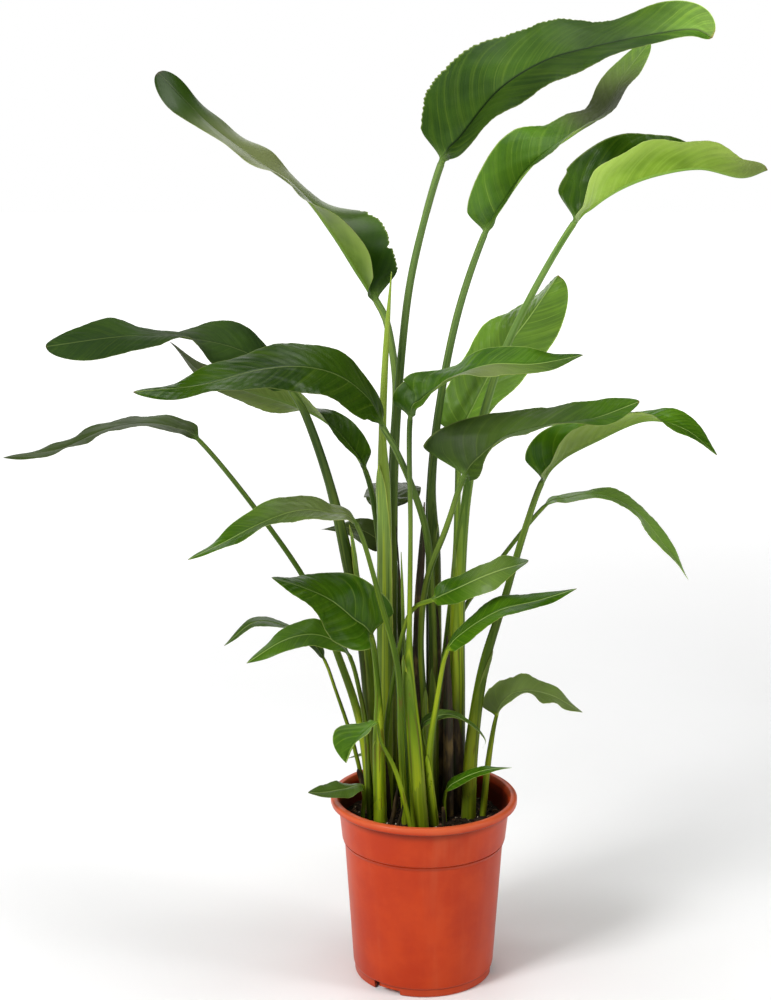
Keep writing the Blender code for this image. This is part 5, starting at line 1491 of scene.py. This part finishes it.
def make_sheaths(living, dry):
    for seed, (name, row) in enumerate(SHEATHS.items()):
        sheath = in_metres({**PLAIN_SHEATH, **row})
        if name.startswith("papery"):
            finish_piece(name, sheath_mesh(name, sheath, DRY_SHEATH_GAP, seed), dry, None)
        else:
            finish_piece(name, sheath_mesh(name, sheath, SHEATH_GAP, seed), living, None)


def make_rods(young, dry):
    for seed, (name, points) in enumerate(RODS.items()):
        fine = name + "_fine"
        if name.startswith("rolled"):
            mesh = rolled_mesh(fine, metres(points), turns=0.35, overlap=0.16, rough=0.0, seed=seed)
            finish_piece(fine, mesh, young, name)
        else:
            mesh = rolled_mesh(fine, metres(points), turns=0.1, overlap=0.22, rough=0.06, seed=seed)
            finish_piece(fine, mesh, dry, name)


# ---------------------------------------------------------------- studio


def area_light(name, place, target, size, power):
    data = bpy.data.lights.new(name, "AREA")
    data.shape = "RECTANGLE"
    data.size, data.size_y = size
    data.energy = power
    lamp = linked(name, data)
    lamp.location = place
    lamp.rotation_euler = (Vector(target) - Vector(place)).to_track_quat("-Z", "Y").to_euler()


def make_sky():
    """White at the horizon and dimmer overhead. Gloss sees it darker still, as with black flags set
    beside the lamps."""
    world = bpy.data.worlds.new("studio")
    bpy.context.scene.world = world
    world.use_nodes = True
    g = Graph(world.node_tree)
    direction = g.node("TexCoord", {}, output="Generated")
    sky = {"Value": g.parts(direction)[2], "From Min": SKY_FROM, "From Max": SKY_TO}
    level = g.node("MapRange", {**sky, "To Min": SKY_LOW, "To Max": SKY_HIGH})
    glossy = g.node("LightPath", {}, output="Is Glossy Ray")
    flags = g.node("MapRange", {"Value": glossy, "To Min": 1.0, "To Max": FLAG_DIM})
    background = world.node_tree.nodes["Background"]
    g.put(background.inputs["Strength"], g.times(level, flags))
    g.put(background.inputs["Color"], (1.0, 1.0, 1.0, 1.0))
    bpy.context.scene.view_settings.view_transform = "Standard"


def make_floor():
    mesh = bpy.data.meshes.new("floor")
    floor = bmesh.new()
    bmesh.ops.create_grid(floor, x_segments=24, y_segments=24, size=FLOOR_SIZE / 2)
    floor.to_mesh(mesh)
    floor.free()
    mesh.materials.append(floor_finish())
    obj = linked("floor", mesh)
    obj.location.z = -FLOOR_DROP


def make_camera():
    data = bpy.data.cameras.new("camera")
    data.lens = CAMERA_LENS
    data.clip_end = 50.0
    camera = linked("camera", data)
    camera.location = CAMERA_PLACE
    camera.rotation_euler = (math.radians(90.0 - CAMERA_PITCH), 0.0, 0.0)
    bpy.context.scene.camera = camera


def main():
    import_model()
    living = leaf_finish()
    for number, name in enumerate(LEAVES, 1):
        make_leaf(name, float(number), living)
    dry = dry_finish()
    make_rods(young_finish(), dry)
    make_sheaths(sheath_finish(), dry)
    make_pot(pot_finish())
    soil = soil_finish()
    make_soil(soil)
    make_chips("soil_bark", chip_finish("bark", BARK_DEEP, BARK_PALE, 0.85))
    make_chips("soil_crumbs", soil)
    make_chips("soil_specks", chip_finish("specks", SPECK_DEEP, SPECK_PALE, 0.8))
    make_floor()
    for name, (place, target, size, power) in LAMPS.items():
        area_light(name, place, target, size, power)
    make_sky()
    make_camera()


main()
